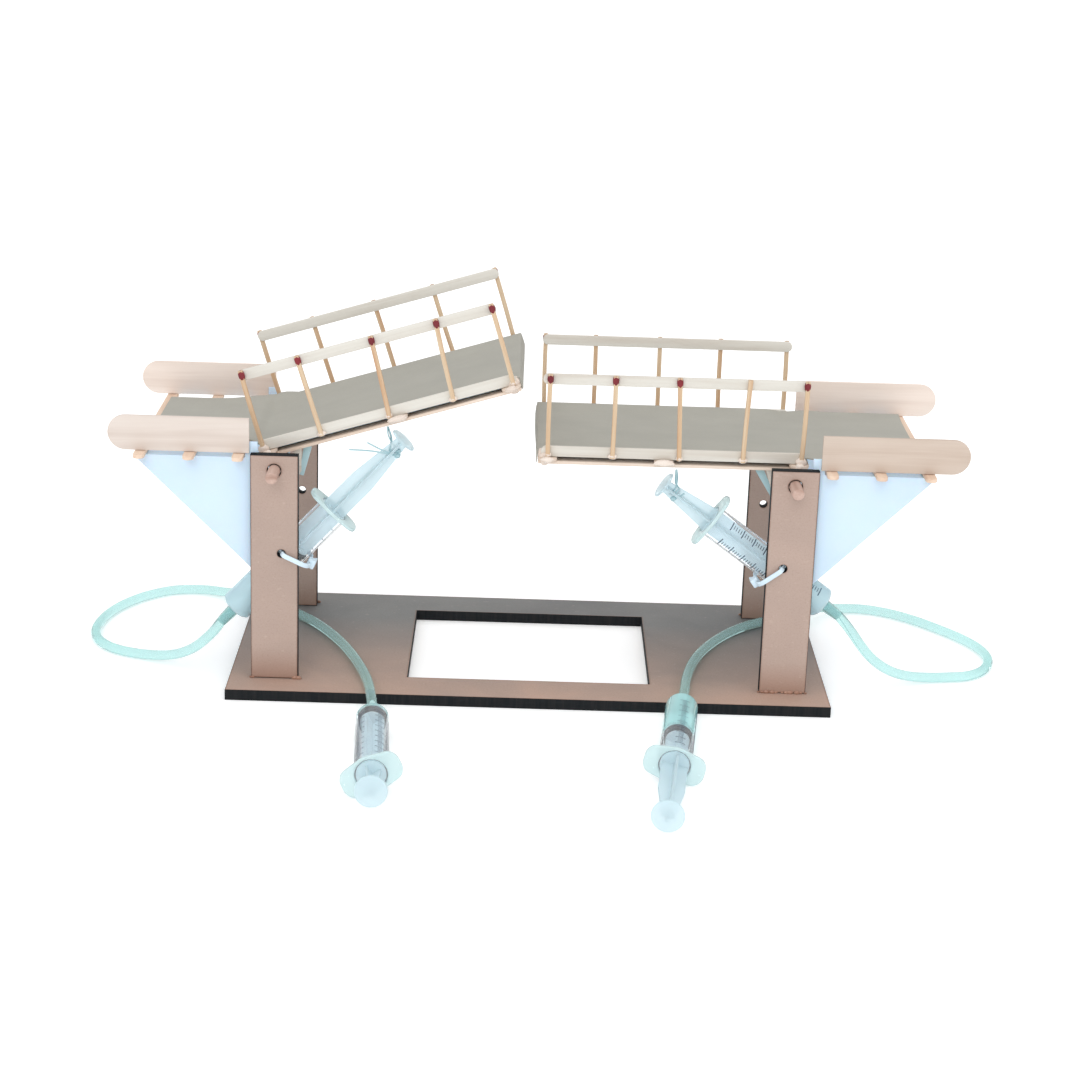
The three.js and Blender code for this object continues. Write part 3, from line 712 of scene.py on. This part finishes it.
def foot_glue(name, side):
    """Brown-stained hot glue at the front of each tower's foot: at its corners, or in an uneven row."""
    for end in ("front", "back"):
        low, high = span(f"{name}_tower_{end}", side["bank"])
        outer = low[1] if abs(low[1]) > abs(high[1]) else high[1]
        out = copysign(0.2, outer)
        lumps = []
        for i, along in enumerate(side["foot_glue"]):
            swell = 1 + 0.4 * sin(5 * i + len(end))
            size = (2.2 * swell, 1.2 * swell, 1.5 * swell)
            x = low[0] + (high[0] - low[0]) * along
            lumps.append(moved(blob(size, i + len(name)), spot(x, outer + out, low[2] + 0.3)))
        put(f"{name}_foot_glue_{end}", merged(*lumps), side["bank"], "root", ["foot"])


# ---- approach -----------------------------------------------------------------------------------
def stick(node, place, body, wood_look, low_round, high_round, bevel=0.3):
    """A craft stick in the place of its CAD node, with eased edges."""
    size, own = lying(node, place)
    shape = plate(strip(size[0], size[1], low_round, high_round), size[2], min(bevel, size[2] * 0.4))[0]
    put(f"{node}_wood", shape, own, body, [wood_look], [node])


def approach(name, side):
    bank = side["bank"]
    for i in (1, 2, 3):
        stick(f"{name}_approach_stick_{i}", bank, "root", "stick", True, True)
    for end in ("front", "back"):
        # the far board takes the stick painted lighter against the shade it stands in
        board_look = f"{name}_board" if end == "front" else "far_board"
        stick(f"{name}_side_board_{end}", bank, "root", board_look, True, False)
    stick(f"{name}_road_bed", bank, "root", "white", False, False, 0.15)


BRACKET = Sizes(
    card=0.8, y=53.4, inner=141.5, outer=196, top=119, foot=62.5, edge=139.15,
    ear_in=135.6, ear_out=141.6, ear_top=127, over_tower=121.6,
)


def card_bracket(name, side):
    """One white card, folded down at both sides into two gussets that have a tab over the tower."""
    c = BRACKET
    low = c.top - c.card
    panel = plate(rectangle(c.outer - c.inner, 2 * c.y - 0.4), c.card - 0.1, 0.15)[0]
    shapes = [moved(panel, spot(-(c.outer + c.inner) / 2, 0, c.top - c.card / 2))]
    for sign in (-1, 1):
        ear_top = c.ear_top if sign == side["front"] else side["ear_top"]
        gusset = [(c.outer, c.top), (c.outer, low), (c.edge, c.foot),
                  (c.edge, c.over_tower), (c.ear_in, c.over_tower), (c.ear_in, ear_top),
                  (c.ear_out, ear_top), (c.ear_out, c.top)]
        flank = plate([(-out, up) for out, up in gusset], c.card, 0.15)[0]
        shapes.append(moved(flank, spot(0, sign * (c.y + c.card / 2), 0) @ turn(90, "X")))
    put(f"{name}_card_bracket_folded", merged(*shapes), side["bank"], "root", ["white"],
        [f"{name}_card_bracket"])


SLEEVE = Sizes(inner=3.35, outer=4.3, half=22)


def pivot_sleeve(name, side):
    """A short tube on the axle, bedded in a bead of glue under the leaf's heel."""
    half, inner, outer = SLEEVE.half, SLEEVE.inner, SLEEVE.outer
    wall = [(-half, inner), (-half, outer), (half, outer), (half, inner)]
    tube = lathe(rounded([*wall, wall[0]], 0.2)[:-1], 40, closed=True)
    bead = sweep([(1.2 - half, 0, 0), (half - 1.2, 0, 0)], soft_square(4.4, 1.2, 0.5, 4))
    shape = merged(moved(tube, turn(90, "Z")), moved(bead, spot(-1.1, 0, 4.5) @ turn(90, "Z")))
    put(f"{name}_pivot_tube", shape, side["leaf"], f"{name}_leaf", ["nylon"], [f"{name}_pivot_sleeve"])


# ---- leaf ---------------------------------------------------------------------------------------
LEAF_TIP = 126
ROAD = Sizes(card=0.6, deck_top=10.4, edge=0.3, fold=0.6, tip_drop=5.4)
FAR_EDGE = 0.62  # of the way from the middle to the far edge, where the sheet starts to lift
BULGE = 13  # how far from the heel the far edge's bulge reaches
EASE = 8  # how far the lift takes to set in, round the hinge
PACKING = Sizes(y=(-32, 0, 32), width=9, thick=2.2)


def road_sheet(name, side):
    """The grey card road: one sheet from the approach over the hinge to the leaf's folded tip."""
    low, high = span(f"{name}_road_card", side["bank"])
    deck_low, deck_high = span(f"{name}_deck_card", side["leaf"])
    to_leaf = side["bank"].inverted() @ side["leaf"]
    resting, near_heel = side["road_lift"] / side["lift"], side["near_heel"]
    top, tip = ROAD.deck_top, deck_high[0] - ROAD.edge
    flat = tip - ROAD.fold

    def bulge(away):
        """The sheet's far edge rides up over the heel of the far rail."""
        return side["heel_lift"] / side["lift"] * exp(-(away / BULGE) ** 2)

    def on_leaf(u, w, lifted=1, folded=0):
        p = to_leaf @ Vector((u * MM, 0, w * MM)) / MM
        return p.x, p.z, lifted, 1, folded

    # a station: its X and Z, how far its far edge is lifted, how far it is on the leaf, and how far folded
    stations = [(x, high[2], max(resting, near_heel * bulge(x - high[0])), 0, 0)
                for x in np.linspace(low[0], high[0], 12)]
    reach = [on_leaf(u, top, max(min(1, max(0, u / EASE + 0.5)), bulge(u - deck_low[0])))
             for u in np.linspace(deck_low[0], flat, 40)]
    start, end, beyond = (Vector((x, 0, z)) for x, z in ((high[0], high[2]), reach[0][:2], reach[1][:2]))
    gap = (end - start).length
    leave, arrive = Vector((gap, 0, 0)), (beyond - end).normalized() * gap
    for t in np.linspace(0, 1, 8)[1:-1]:
        square, cube = t ** 2, t ** 3
        a = 2 * cube - 3 * square + 1
        p = start * a + leave * (cube - 2 * square + t) + end * (1 - a) + arrive * (cube - square)
        stations.append((p.x, p.z, max(resting, (near_heel * (1 - t) + t) * bulge(0)), t, 0))
    stations += reach
    stations += [on_leaf(flat + ROAD.fold * sin(a), top - ROAD.fold + ROAD.fold * cos(a))
                 for a in np.linspace(0, QUARTER, 5)[1:]]
    stations += [on_leaf(tip, top - 1 - ROAD.tip_drop * t, 1, t ** 0.5) for t in np.linspace(0, 1, 6)]
    across = np.linspace(-1, 1, 29)
    far = -side["front"]
    n, m = len(stations), len(across)
    grid = []
    for x, z, lifted, on, folded in stations:
        half = side["road_half"] * (1 - on) + deck_high[1] * on
        for v in across:
            rise = side["lift"] * lifted * max(0, (v * far - FAR_EDGE) / (1 - FAR_EDGE)) ** 1.5
            wave = 0.12 * noise.noise(Vector((x * 0.03, v * 2, 0.3)))
            out = side["flare"] * folded * (0.6 + 0.4 * sin(2.2 * v * far))
            grid.append((x + out, v * half, z + rise + wave * min(lifted, 1)))
    grid = np.array(grid).reshape(n, m, 3)
    tangent = np.gradient(grid, axis=0)
    normal = np.stack([-tangent[:, :, 2], 0 * tangent[:, :, 1], tangent[:, :, 0]], 2)
    normal /= np.linalg.norm(normal, axis=2)[:, :, None]
    # each station is a ring, over the sheet and back under it
    rings = np.concatenate([grid, (grid - normal * ROAD.card)[:, ::-1]], 1)
    faces = bands(n, 2 * m)
    for a, b in ((0, 2 * m - 1), ((n - 1) * 2 * m, n * 2 * m - 1)):
        faces += [(a + k, a + k + 1, b - k - 1, b - k) for k in range(m - 1)]
    sheet = put(f"{name}_road_sheet", (rings.reshape(-1, 3), faces), side["bank"], None, ["grey"],
                [f"{name}_road_card", f"{name}_deck_card"], sharp=50)
    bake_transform(sheet)
    for i, y in enumerate(PACKING.y):
        shape = plate(rectangle(deck_high[0] - deck_low[0] - 4, PACKING.width), PACKING.thick, 0.2)[0]
        at = shift((deck_low[0] + deck_high[0]) / 2 - 1, y, deck_low[2] + 1.2)
        put(f"{name}_deck_packing_{i + 1}", shape, side["leaf"] @ at, f"{name}_leaf", ["white"])


RAIL = {"y": 41.6, "thick": 1.4, "height": 5.4, "lower": 7.4, "upper": 43.9, "heel": -5.3, "tip": 124.7}
MATCH = Sizes(size=2.2, foot=7.7, length=41.6, head=3.3, head_length=4.6)
MATCHES = {
    "left": {
        "front": [(-4.3, -3.6), (25.4, 24.9), (60, 62.4), (92.6, 95), (123, 123)],
        "back": [(-3.6, -4), (25.3, 24.4), (58.6, 57.8), (90.6, 89.4), (123, 123)],
    },
    "right": {
        "front": [(-3.6, -4.4), (25.2, 23.5), (56.6, 58), (89.5, 89.2), (121.3, 121.1)],
        "back": [(-2.6, -2.6), (31.6, 31.8), (63.4, 63.6), (97, 97.1), (123, 123.2)],
    },
}


HEEL_GLUE = (5.6, 3.2, 4.6)
STICK_GLUE = {1: 5, 2: 10.5, 3: 6}  # length of the glue at each cross stick's ends
TIP_GLUE = {"corner": (5.8, 4.2, 6.8), "upper": (3.4, 2.8, 5.2)}


def match(name, side, end, index, foot, head, y):
    """One match, its head at the top. A struck one has no head left."""
    size, r, burnt = MATCH.size, MATCH.head / 2, MATCH.head_length
    bottom, top = Vector((foot, y, MATCH.foot)), Vector((head, y, MATCH.foot + MATCH.length))
    bend = Vector((0.25 * sin(index * 2.3 + len(name)), 0.12 * cos(index * 1.9), 0))
    path = [bottom.lerp(top, t) + bend * sin(pi * t) for t in np.linspace(0, 1, 9)]
    along, across = (top - bottom).normalized(), Vector((0, 1, 0))
    turned = Matrix((along, across, along.cross(across))).transposed()
    local = turned.inverted()
    shape = sweep([local @ p for p in path], soft_square(size, size, 0.3), up=across)
    looks, of_head = ["match"], [0] * len(shape[1])
    if end == "back" or index not in side["headless"]:
        profile = [(-burnt, size * 0.5), (0.8 - burnt, r * 0.86), (-2.4, r), (-1, r * 0.9), (-0.2, r * 0.62),
                   (0.15, 0)]
        egg = lathe([(-burnt, 0), *rounded(profile, 0.7)], 20)
        shape = merged(shape, moved(egg, spot(*(local @ top))))
        looks.append("head")
        of_head += [1] * len(egg[1])
    put(f"{name}_match_{end}_{index + 1}", shape, side["leaf"] @ turned.to_4x4(), f"{name}_leaf",
        looks, edge_faces=of_head, sharp=60)


def railing(name, side, end, sign):
    node = f"{name}_railing_{end}"
    y, high = sign * (RAIL["y"] + RAIL["thick"] / 2), RAIL["height"]
    for part in ("lower", "upper"):
        shape = plate(strip(RAIL["tip"] - RAIL["heel"], high, True, True), RAIL["thick"], 0.3)[0]
        place = side["leaf"] @ shift((RAIL["tip"] + RAIL["heel"]) / 2, y, RAIL[part] + high / 2)
        put(f"{name}_rail_{end}_{part}", shape, place @ turn(90, "X"), f"{name}_leaf", ["rail"], [node])
    match_y = sign * (RAIL["y"] + RAIL["thick"] + MATCH.size / 2 - 0.15)
    for i, (foot, head) in enumerate(MATCHES[name][end]):
        match(name, side, end, i, foot, head, match_y)
        lump = blob((3.6 + i % 2, 2.4, 2.8) if i else HEEL_GLUE, i + len(node))
        place = side["leaf"] @ shift(foot, match_y, MATCH.foot + 0.9)
        put(f"{name}_match_glue_{end}_{i + 1}", lump, place, f"{name}_leaf", ["glue"])


def leaf(name, side):
    place, body = side["leaf"], f"{name}_leaf"
    for end, sign in (("front", side["front"]), ("back", -side["front"])):
        stick(f"{name}_long_stick_{end}", place, body, "leaf_stick", False, False)
        railing(name, side, end, sign)
    for i in (1, 2, 3):
        node = f"{name}_cross_stick_{i}"
        stick(node, place, body, "leaf_stick", True, True)
        low, high = span(node, place)
        for sign in (-1, 1):
            lump = blob((STICK_GLUE[i], 3.6, 3.2), i + 5 * sign, 0.3)
            put(f"{name}_stick_glue_{i}_{'high' if sign > 0 else 'low'}", lump,
                place @ shift((low[0] + high[0]) / 2, sign * (high[1] - 1.2), low[2] + 1), body, ["glue"])
    for sign in (-1, 1):
        corner = moved(blob(TIP_GLUE["corner"], 3 + sign, 0.22), spot(-2, sign * 1.3, -2))
        upper = blob(TIP_GLUE["upper"], 5 + sign, 0.2)
        put(f"{name}_tip_glue_{'high' if sign > 0 else 'low'}", merged(corner, upper),
            place @ shift(LEAF_TIP - 1.4, sign * (RAIL["y"] - 0.9), 8.2), body, ["glue"])
    road_sheet(name, side)


# ---- syringes -----------------------------------------------------------------------------------
def flange_outline():
    """Two rounded wings either side of a ring."""
    reach, rim = FLANGE.span / 2, FLANGE.height / 2
    shoulder, wing = reach - FLANGE.chamfer, FLANGE.wing / 2
    neck, end = wing + FLANGE.step, wing - FLANGE.corner
    lean = asin((wing + FLANGE.chamfer) / rim) / QUARTER
    crown = arc(0, 0, rim, lean, 2 - lean, 6)
    foot = (crown[0][0], -crown[0][1])
    edge = rounded([foot, (shoulder, -neck), (reach, -end), (reach, end), (shoulder, neck), crown[0]], 2.2, 4)
    half = edge[1:-1] + crown
    return half + [(-x, -y) for x, y in half]


def barrel(prefix, place, body, kind, seal_at):
    """The barrel with its flange. Ahead of the seal, the water inside tints it."""
    b, length = BARREL, KINDS[kind].length
    floor, tip_end = length - b.wall, length + b.tip
    inner = b.bore
    profile = [
        (-0.01, inner), (-0.01, b.radius), (-seal_at, b.radius), (-(length - 1.2), b.radius),
        (-length, b.radius - 1.4), (-length, b.tip_radius + 0.3), (-tip_end, b.tip_radius - 0.1),
        (-tip_end, b.tip_bore), (-floor, b.tip_bore), (-floor, inner - 0.6), (-floor + 0.6, inner),
        (-seal_at, inner), (-0.01, inner),
    ]
    tube = lathe(rounded(profile, 0.35)[:-1], 64, closed=True)
    wet = [1 if sum(tube[0][i][0] for i in face) / len(face) < -seal_at else 0 for face in tube[1]]
    rim = plate(flange_outline(), FLANGE.thick, 0.4, [circle(0, 0, inner + 0.2, 48)])[0]
    rim = moved(rim, spot(-FLANGE.thick / 2, 0, 0) @ turn(90, "Y") @ turn(90, "Z"))
    put(f"{prefix}_barrel_clear", merged(tube, rim), place, body, ["barrel", f"wet_{kind}", "flange"],
        [f"{prefix}_barrel"], edge_faces=wet + [2] * len(rim[1]))


MARKS = Sizes(first=10, last=66, count=41, ink=0.03, deep=0.996)
LONG_MARK, SHORT_MARK = (0.62, 0.28), (0.3, 0.18)  # radians round the barrel, half the width in mm


def ticks(prefix, place, body, rows):
    """Graduations: thin arcs of ink on the barrel, long at each fifth one. No figures."""
    m, strokes = MARKS, []
    r = BARREL.radius + m.ink
    for row in rows:
        for i in range(m.count):
            x = -m.first - (m.last - m.first) * i / (m.count - 1)
            reach, wide = SHORT_MARK if i % 5 else LONG_MARK
            angles = np.linspace(-reach / 2, reach / 2, 7) + radians(row)
            points = [(x + s * wide, r * deep * cos(a), r * deep * sin(a))
                      for a in angles for s, deep in ((-1, 1), (1, 1), (1, m.deep), (-1, m.deep))]
            ends = [(3, 2, 1, 0), tuple(range(len(points) - 4, len(points)))]
            strokes.append((points, bands(len(angles), 4) + ends))
    put(f"{prefix}_scale", merged(*strokes), place, body, ["ink"])


PLUNGER = Sizes(disc=1.3, rib=1.2, wide=12, narrow=5.4, mouth=6.9, seat=6.2, taper=30)
SEAL = Sizes(length=7, radius=7.05, groove=6.3)


def plunger(prefix, place, kind, out):
    """Thumb rest with a raised rim, four ribs that widen forward, a disc at the barrel's mouth and the
    seal's seat."""
    p, radius = PLUNGER, KINDS[kind].disc
    neck = KINDS[kind].reach - SEAL.length
    disc = lathe(rounded([(0, 0), (0, radius - 1.2), (0.001, radius - 0.9), (-0.3, radius - 0.3),
                          (-p.disc, radius - 0.2), (-p.disc, 0)], 0.3), 48)
    fin = [(-0.4, -p.narrow / 2), (-0.4, p.narrow / 2), (-p.taper, p.wide / 2),
           (-neck, p.wide / 2), (-neck, -p.wide / 2), (-p.taper, -p.wide / 2)][::-1]
    rib = plate(fin, p.rib, 0.2)[0]
    stops = [lathe(rounded([(x, 0), (x, wide), (x - 1.2, wide), (x - 1.2, 0)], 0.2), 40)
             for x, wide in ((-out - 0.4, p.mouth), (-neck + 1.4, p.seat))]
    shape = merged(disc, rib, moved(rib, turn(90, "X")), *stops)
    put(f"{prefix}_plunger_clear", shape, place, f"{prefix}_plunger", ["plunger"], [f"{prefix}_plunger"])


def seal(prefix, place, end):
    """Rubber seal with two lips, end from its thumb rest."""
    start, r, groove = end - SEAL.length + 0.3, SEAL.radius, SEAL.groove
    profile = [(start, 0), (start, r), (start + 1.5, r), (start + 2, groove), (end - 3, groove),
               (end - 2.5, r), (end - 1.2, r), (end - 0.2, r - 2.2), (end, 0)]
    shape = lathe(rounded([(-along, radius) for along, radius in profile], 0.35), 56)
    put(f"{prefix}_seal_rubber", shape, place,
        f"{prefix}_plunger", ["rubber"], [f"{prefix}_seal"])


def collar(prefix, place, body, length):
    """The hose's mouth, stretched over the barrel's tip."""
    start, end = length + 1.4, length + BARREL.tip + 0.4
    profile = [(-start, 2.2), (-start, 3.05), (-start - 3, 3.0), (-end, 2.55), (-end, 2.05)]
    put(f"{prefix}_hose_mouth", lathe(profile, 32, closed=True), place, body, ["hose"])


def syringe(name, side, kind):
    """A whole syringe. Each plunger has a body of its own, and so has a slave syringe's barrel."""
    prefix, place, out = f"{name}_{kind}", side[kind], side[f"{kind}_out"]
    body = f"{prefix}_barrel" if kind == "slave" else "root"
    length, reach = KINDS[kind].length, KINDS[kind].reach
    thumb = place @ shift(out, 0, 0)
    barrel(prefix, place, body, kind, min(reach - out, length - 3))
    ticks(prefix, place, body, side[f"{kind}_rows"])
    collar(prefix, place, body, length)
    plunger(prefix, thumb, kind, out)
    seal(prefix, thumb, reach)


# ---- ties ---------------------------------------------------------------------------------------
TIE_LOOP = [
    (15, 49.6), (15.1, 44.5), (14.3, 39.8), (11.2, 36.2), (5.3, 34.2), (-1, 36.3), (-4.6, 42), (-3.7, 47.6),
    (-0.8, 51), (0, 53.2), (0, 56.2), (1.5, 58.9), (6.5, 59.2), (12.2, 59.1), (14.6, 57.2), (14.8, 52.8),
]
TIE_TILT = 18
TIE_HEAD = (51.2, -15.6)
STRAP = soft_square(0.95, 2.3, 0.2)


def slave_tie(name, side):
    """Cable tie through the tower's small hole and round the barrel, with its square head and cut tail."""
    f = side["front"]
    place = side["hub"] @ turn(-TIE_TILT, "Y")
    path = smooth_path([(0, f * y, -e) for e, y in TIE_LOOP], 8)
    strap = sweep(path, STRAP, up=(1, 0, 0))
    head = merged(plate(soft_square(4.8, 4.8, 0.8), 4, 0.5)[0], plate(rectangle(3, 1.4), 4.3, 0.2)[0])
    block = moved(head, spot(0, f * TIE_HEAD[0], TIE_HEAD[1]))
    tail_path = [(0, f * 49.4, -15), (0.4, f * 47.8, -16), (0.8, f * 46.2, -17.6)]
    tail = sweep(smooth_path(tail_path, 5), STRAP, up=(1, 0, 0))
    put(f"{name}_cable_tie", merged(strap, block, tail), place, f"{name}_slave_barrel", ["nylon"],
        [f"{name}_slave_tie"])


def anchor_tie(name, side):
    """The thin tie from the leaf's underside round the neck of the thumb rest, and its loose ends."""
    low, high = span(f"{name}_anchor_loop", side["leaf"])
    y = (low[1] + high[1]) / 2
    under = high[2] - 0.2
    ring = [(low[0] + 1, under), (low[0] + 0.4, -1), (low[0] + 1.4, -6.5), (low[0] + 4, -9.6),
            (high[0] - 3, -8.4), (high[0] - 1, -3.5), (high[0] - 0.9, under)]
    loop = sweep(smooth_path([(u, y + 1.6 * sin(u), w) for u, w in ring], 6), soft_square(0.5, 1.6, 0.2),
                 up=(0, 1, 0))
    knot_at = Vector((low[0] + 2.2, y + side["front"] * 2, low[2] + 5.4))
    knot = moved(blob((3, 2.6, 2.4), len(name), 0.3), spot(*knot_at))
    ends = []
    for k, (along, rise) in enumerate(side["tie_ends"]):
        stop = knot_at + Vector((along, side["front"] * (1 - k), rise))
        bend = knot_at.lerp(stop, 0.5) + Vector((0, 0, 0.8 - 1.4 * k))
        ends.append(sweep(smooth_path([knot_at, bend, stop], 6), circle(0, 0, 0.42, 8), up=(0, 1, 0)))
    put(f"{name}_anchor_tie", merged(loop, knot, *ends), side["leaf"], f"{name}_leaf", ["teal"],
        [f"{name}_anchor_loop"])


# Each strip's look, where its top and its foot are from the hinge, and how deep it hangs.
HEEL_STRIPS = {"plastic": ("teal", 16.4, 9, 13.5), "card": ("rail", 11, 8.2, 13)}


def heel_strips(name, side):
    """Two strips of plastic and card that hang in a V between the towers, under the heel."""
    y = side["front"] * 38.5
    steps = np.linspace(0, 1, 7)
    for part, (look_name, top_u, foot_u, depth) in HEEL_STRIPS.items():
        path = [(top_u + (foot_u - top_u) * t, y, 3.2 - depth * t) for t in steps]
        shape = sweep(path, soft_square(4, 0.9, 0.25), up=(0, 1, 0), scale=[1 - 0.45 * t for t in steps])
        put(f"{name}_heel_strip_{part}", shape, side["leaf"], f"{name}_leaf", [look_name])


# ---- light and floor ----------------------------------------------------------------------------
FLOOR_REACH = 14
SUNS = {"key": ((0.2, 1, -0.7), 0.6, 30), "top": ((-0.2, 0.15, -1), 0.4, 60)}  # aim, power, width in degrees


def stage():
    """White floor, pale sky and two soft suns."""
    scene = bpy.context.scene
    mesh = bpy.data.meshes.new("floor")
    corners = [(x * FLOOR_REACH, y * FLOOR_REACH, 0) for x, y in ((-1, -1), (1, -1), (1, 1), (-1, 1))]
    mesh.from_pydata(corners, [], [(0, 1, 2, 3)])
    mesh.materials.append(look("floor", (0.985, 0.985, 0.985), 0.8, Emission_Color=(1, 1, 1, 1),
                               Emission_Strength=0.22)[0])
    added("floor", mesh)
    scene.world = bpy.data.worlds.new("studio")
    scene.world.use_nodes = True
    sky = scene.world.node_tree.nodes["Background"]
    sky.inputs["Color"].default_value = (0.99, 0.995, 1, 1)
    sky.inputs["Strength"].default_value = 0.9
    for name, (aim, power, width) in SUNS.items():
        data = bpy.data.lights.new(name, "SUN")
        data.energy, data.angle = power, radians(width)
        lamp = added(name, data)
        lamp.rotation_mode = "QUATERNION"
        lamp.rotation_quaternion = Vector(aim).to_track_quat("-Z", "Y")
    scene.view_settings.view_transform = "Standard"


# ---- assembly -----------------------------------------------------------------------------------
base_board()
for bank_name, bank_side in SIDES.items():
    for end_name in ("front", "back"):
        tower(f"{bank_name}_tower_{end_name}", bank_side)
    for make in (dowel, foot_glue, approach, leaf, card_bracket, pivot_sleeve):
        make(bank_name, bank_side)
    for kind_name in KINDS:
        syringe(bank_name, bank_side, kind_name)
    for make in (slave_tie, anchor_tie, heel_strips):
        make(bank_name, bank_side)
stage()
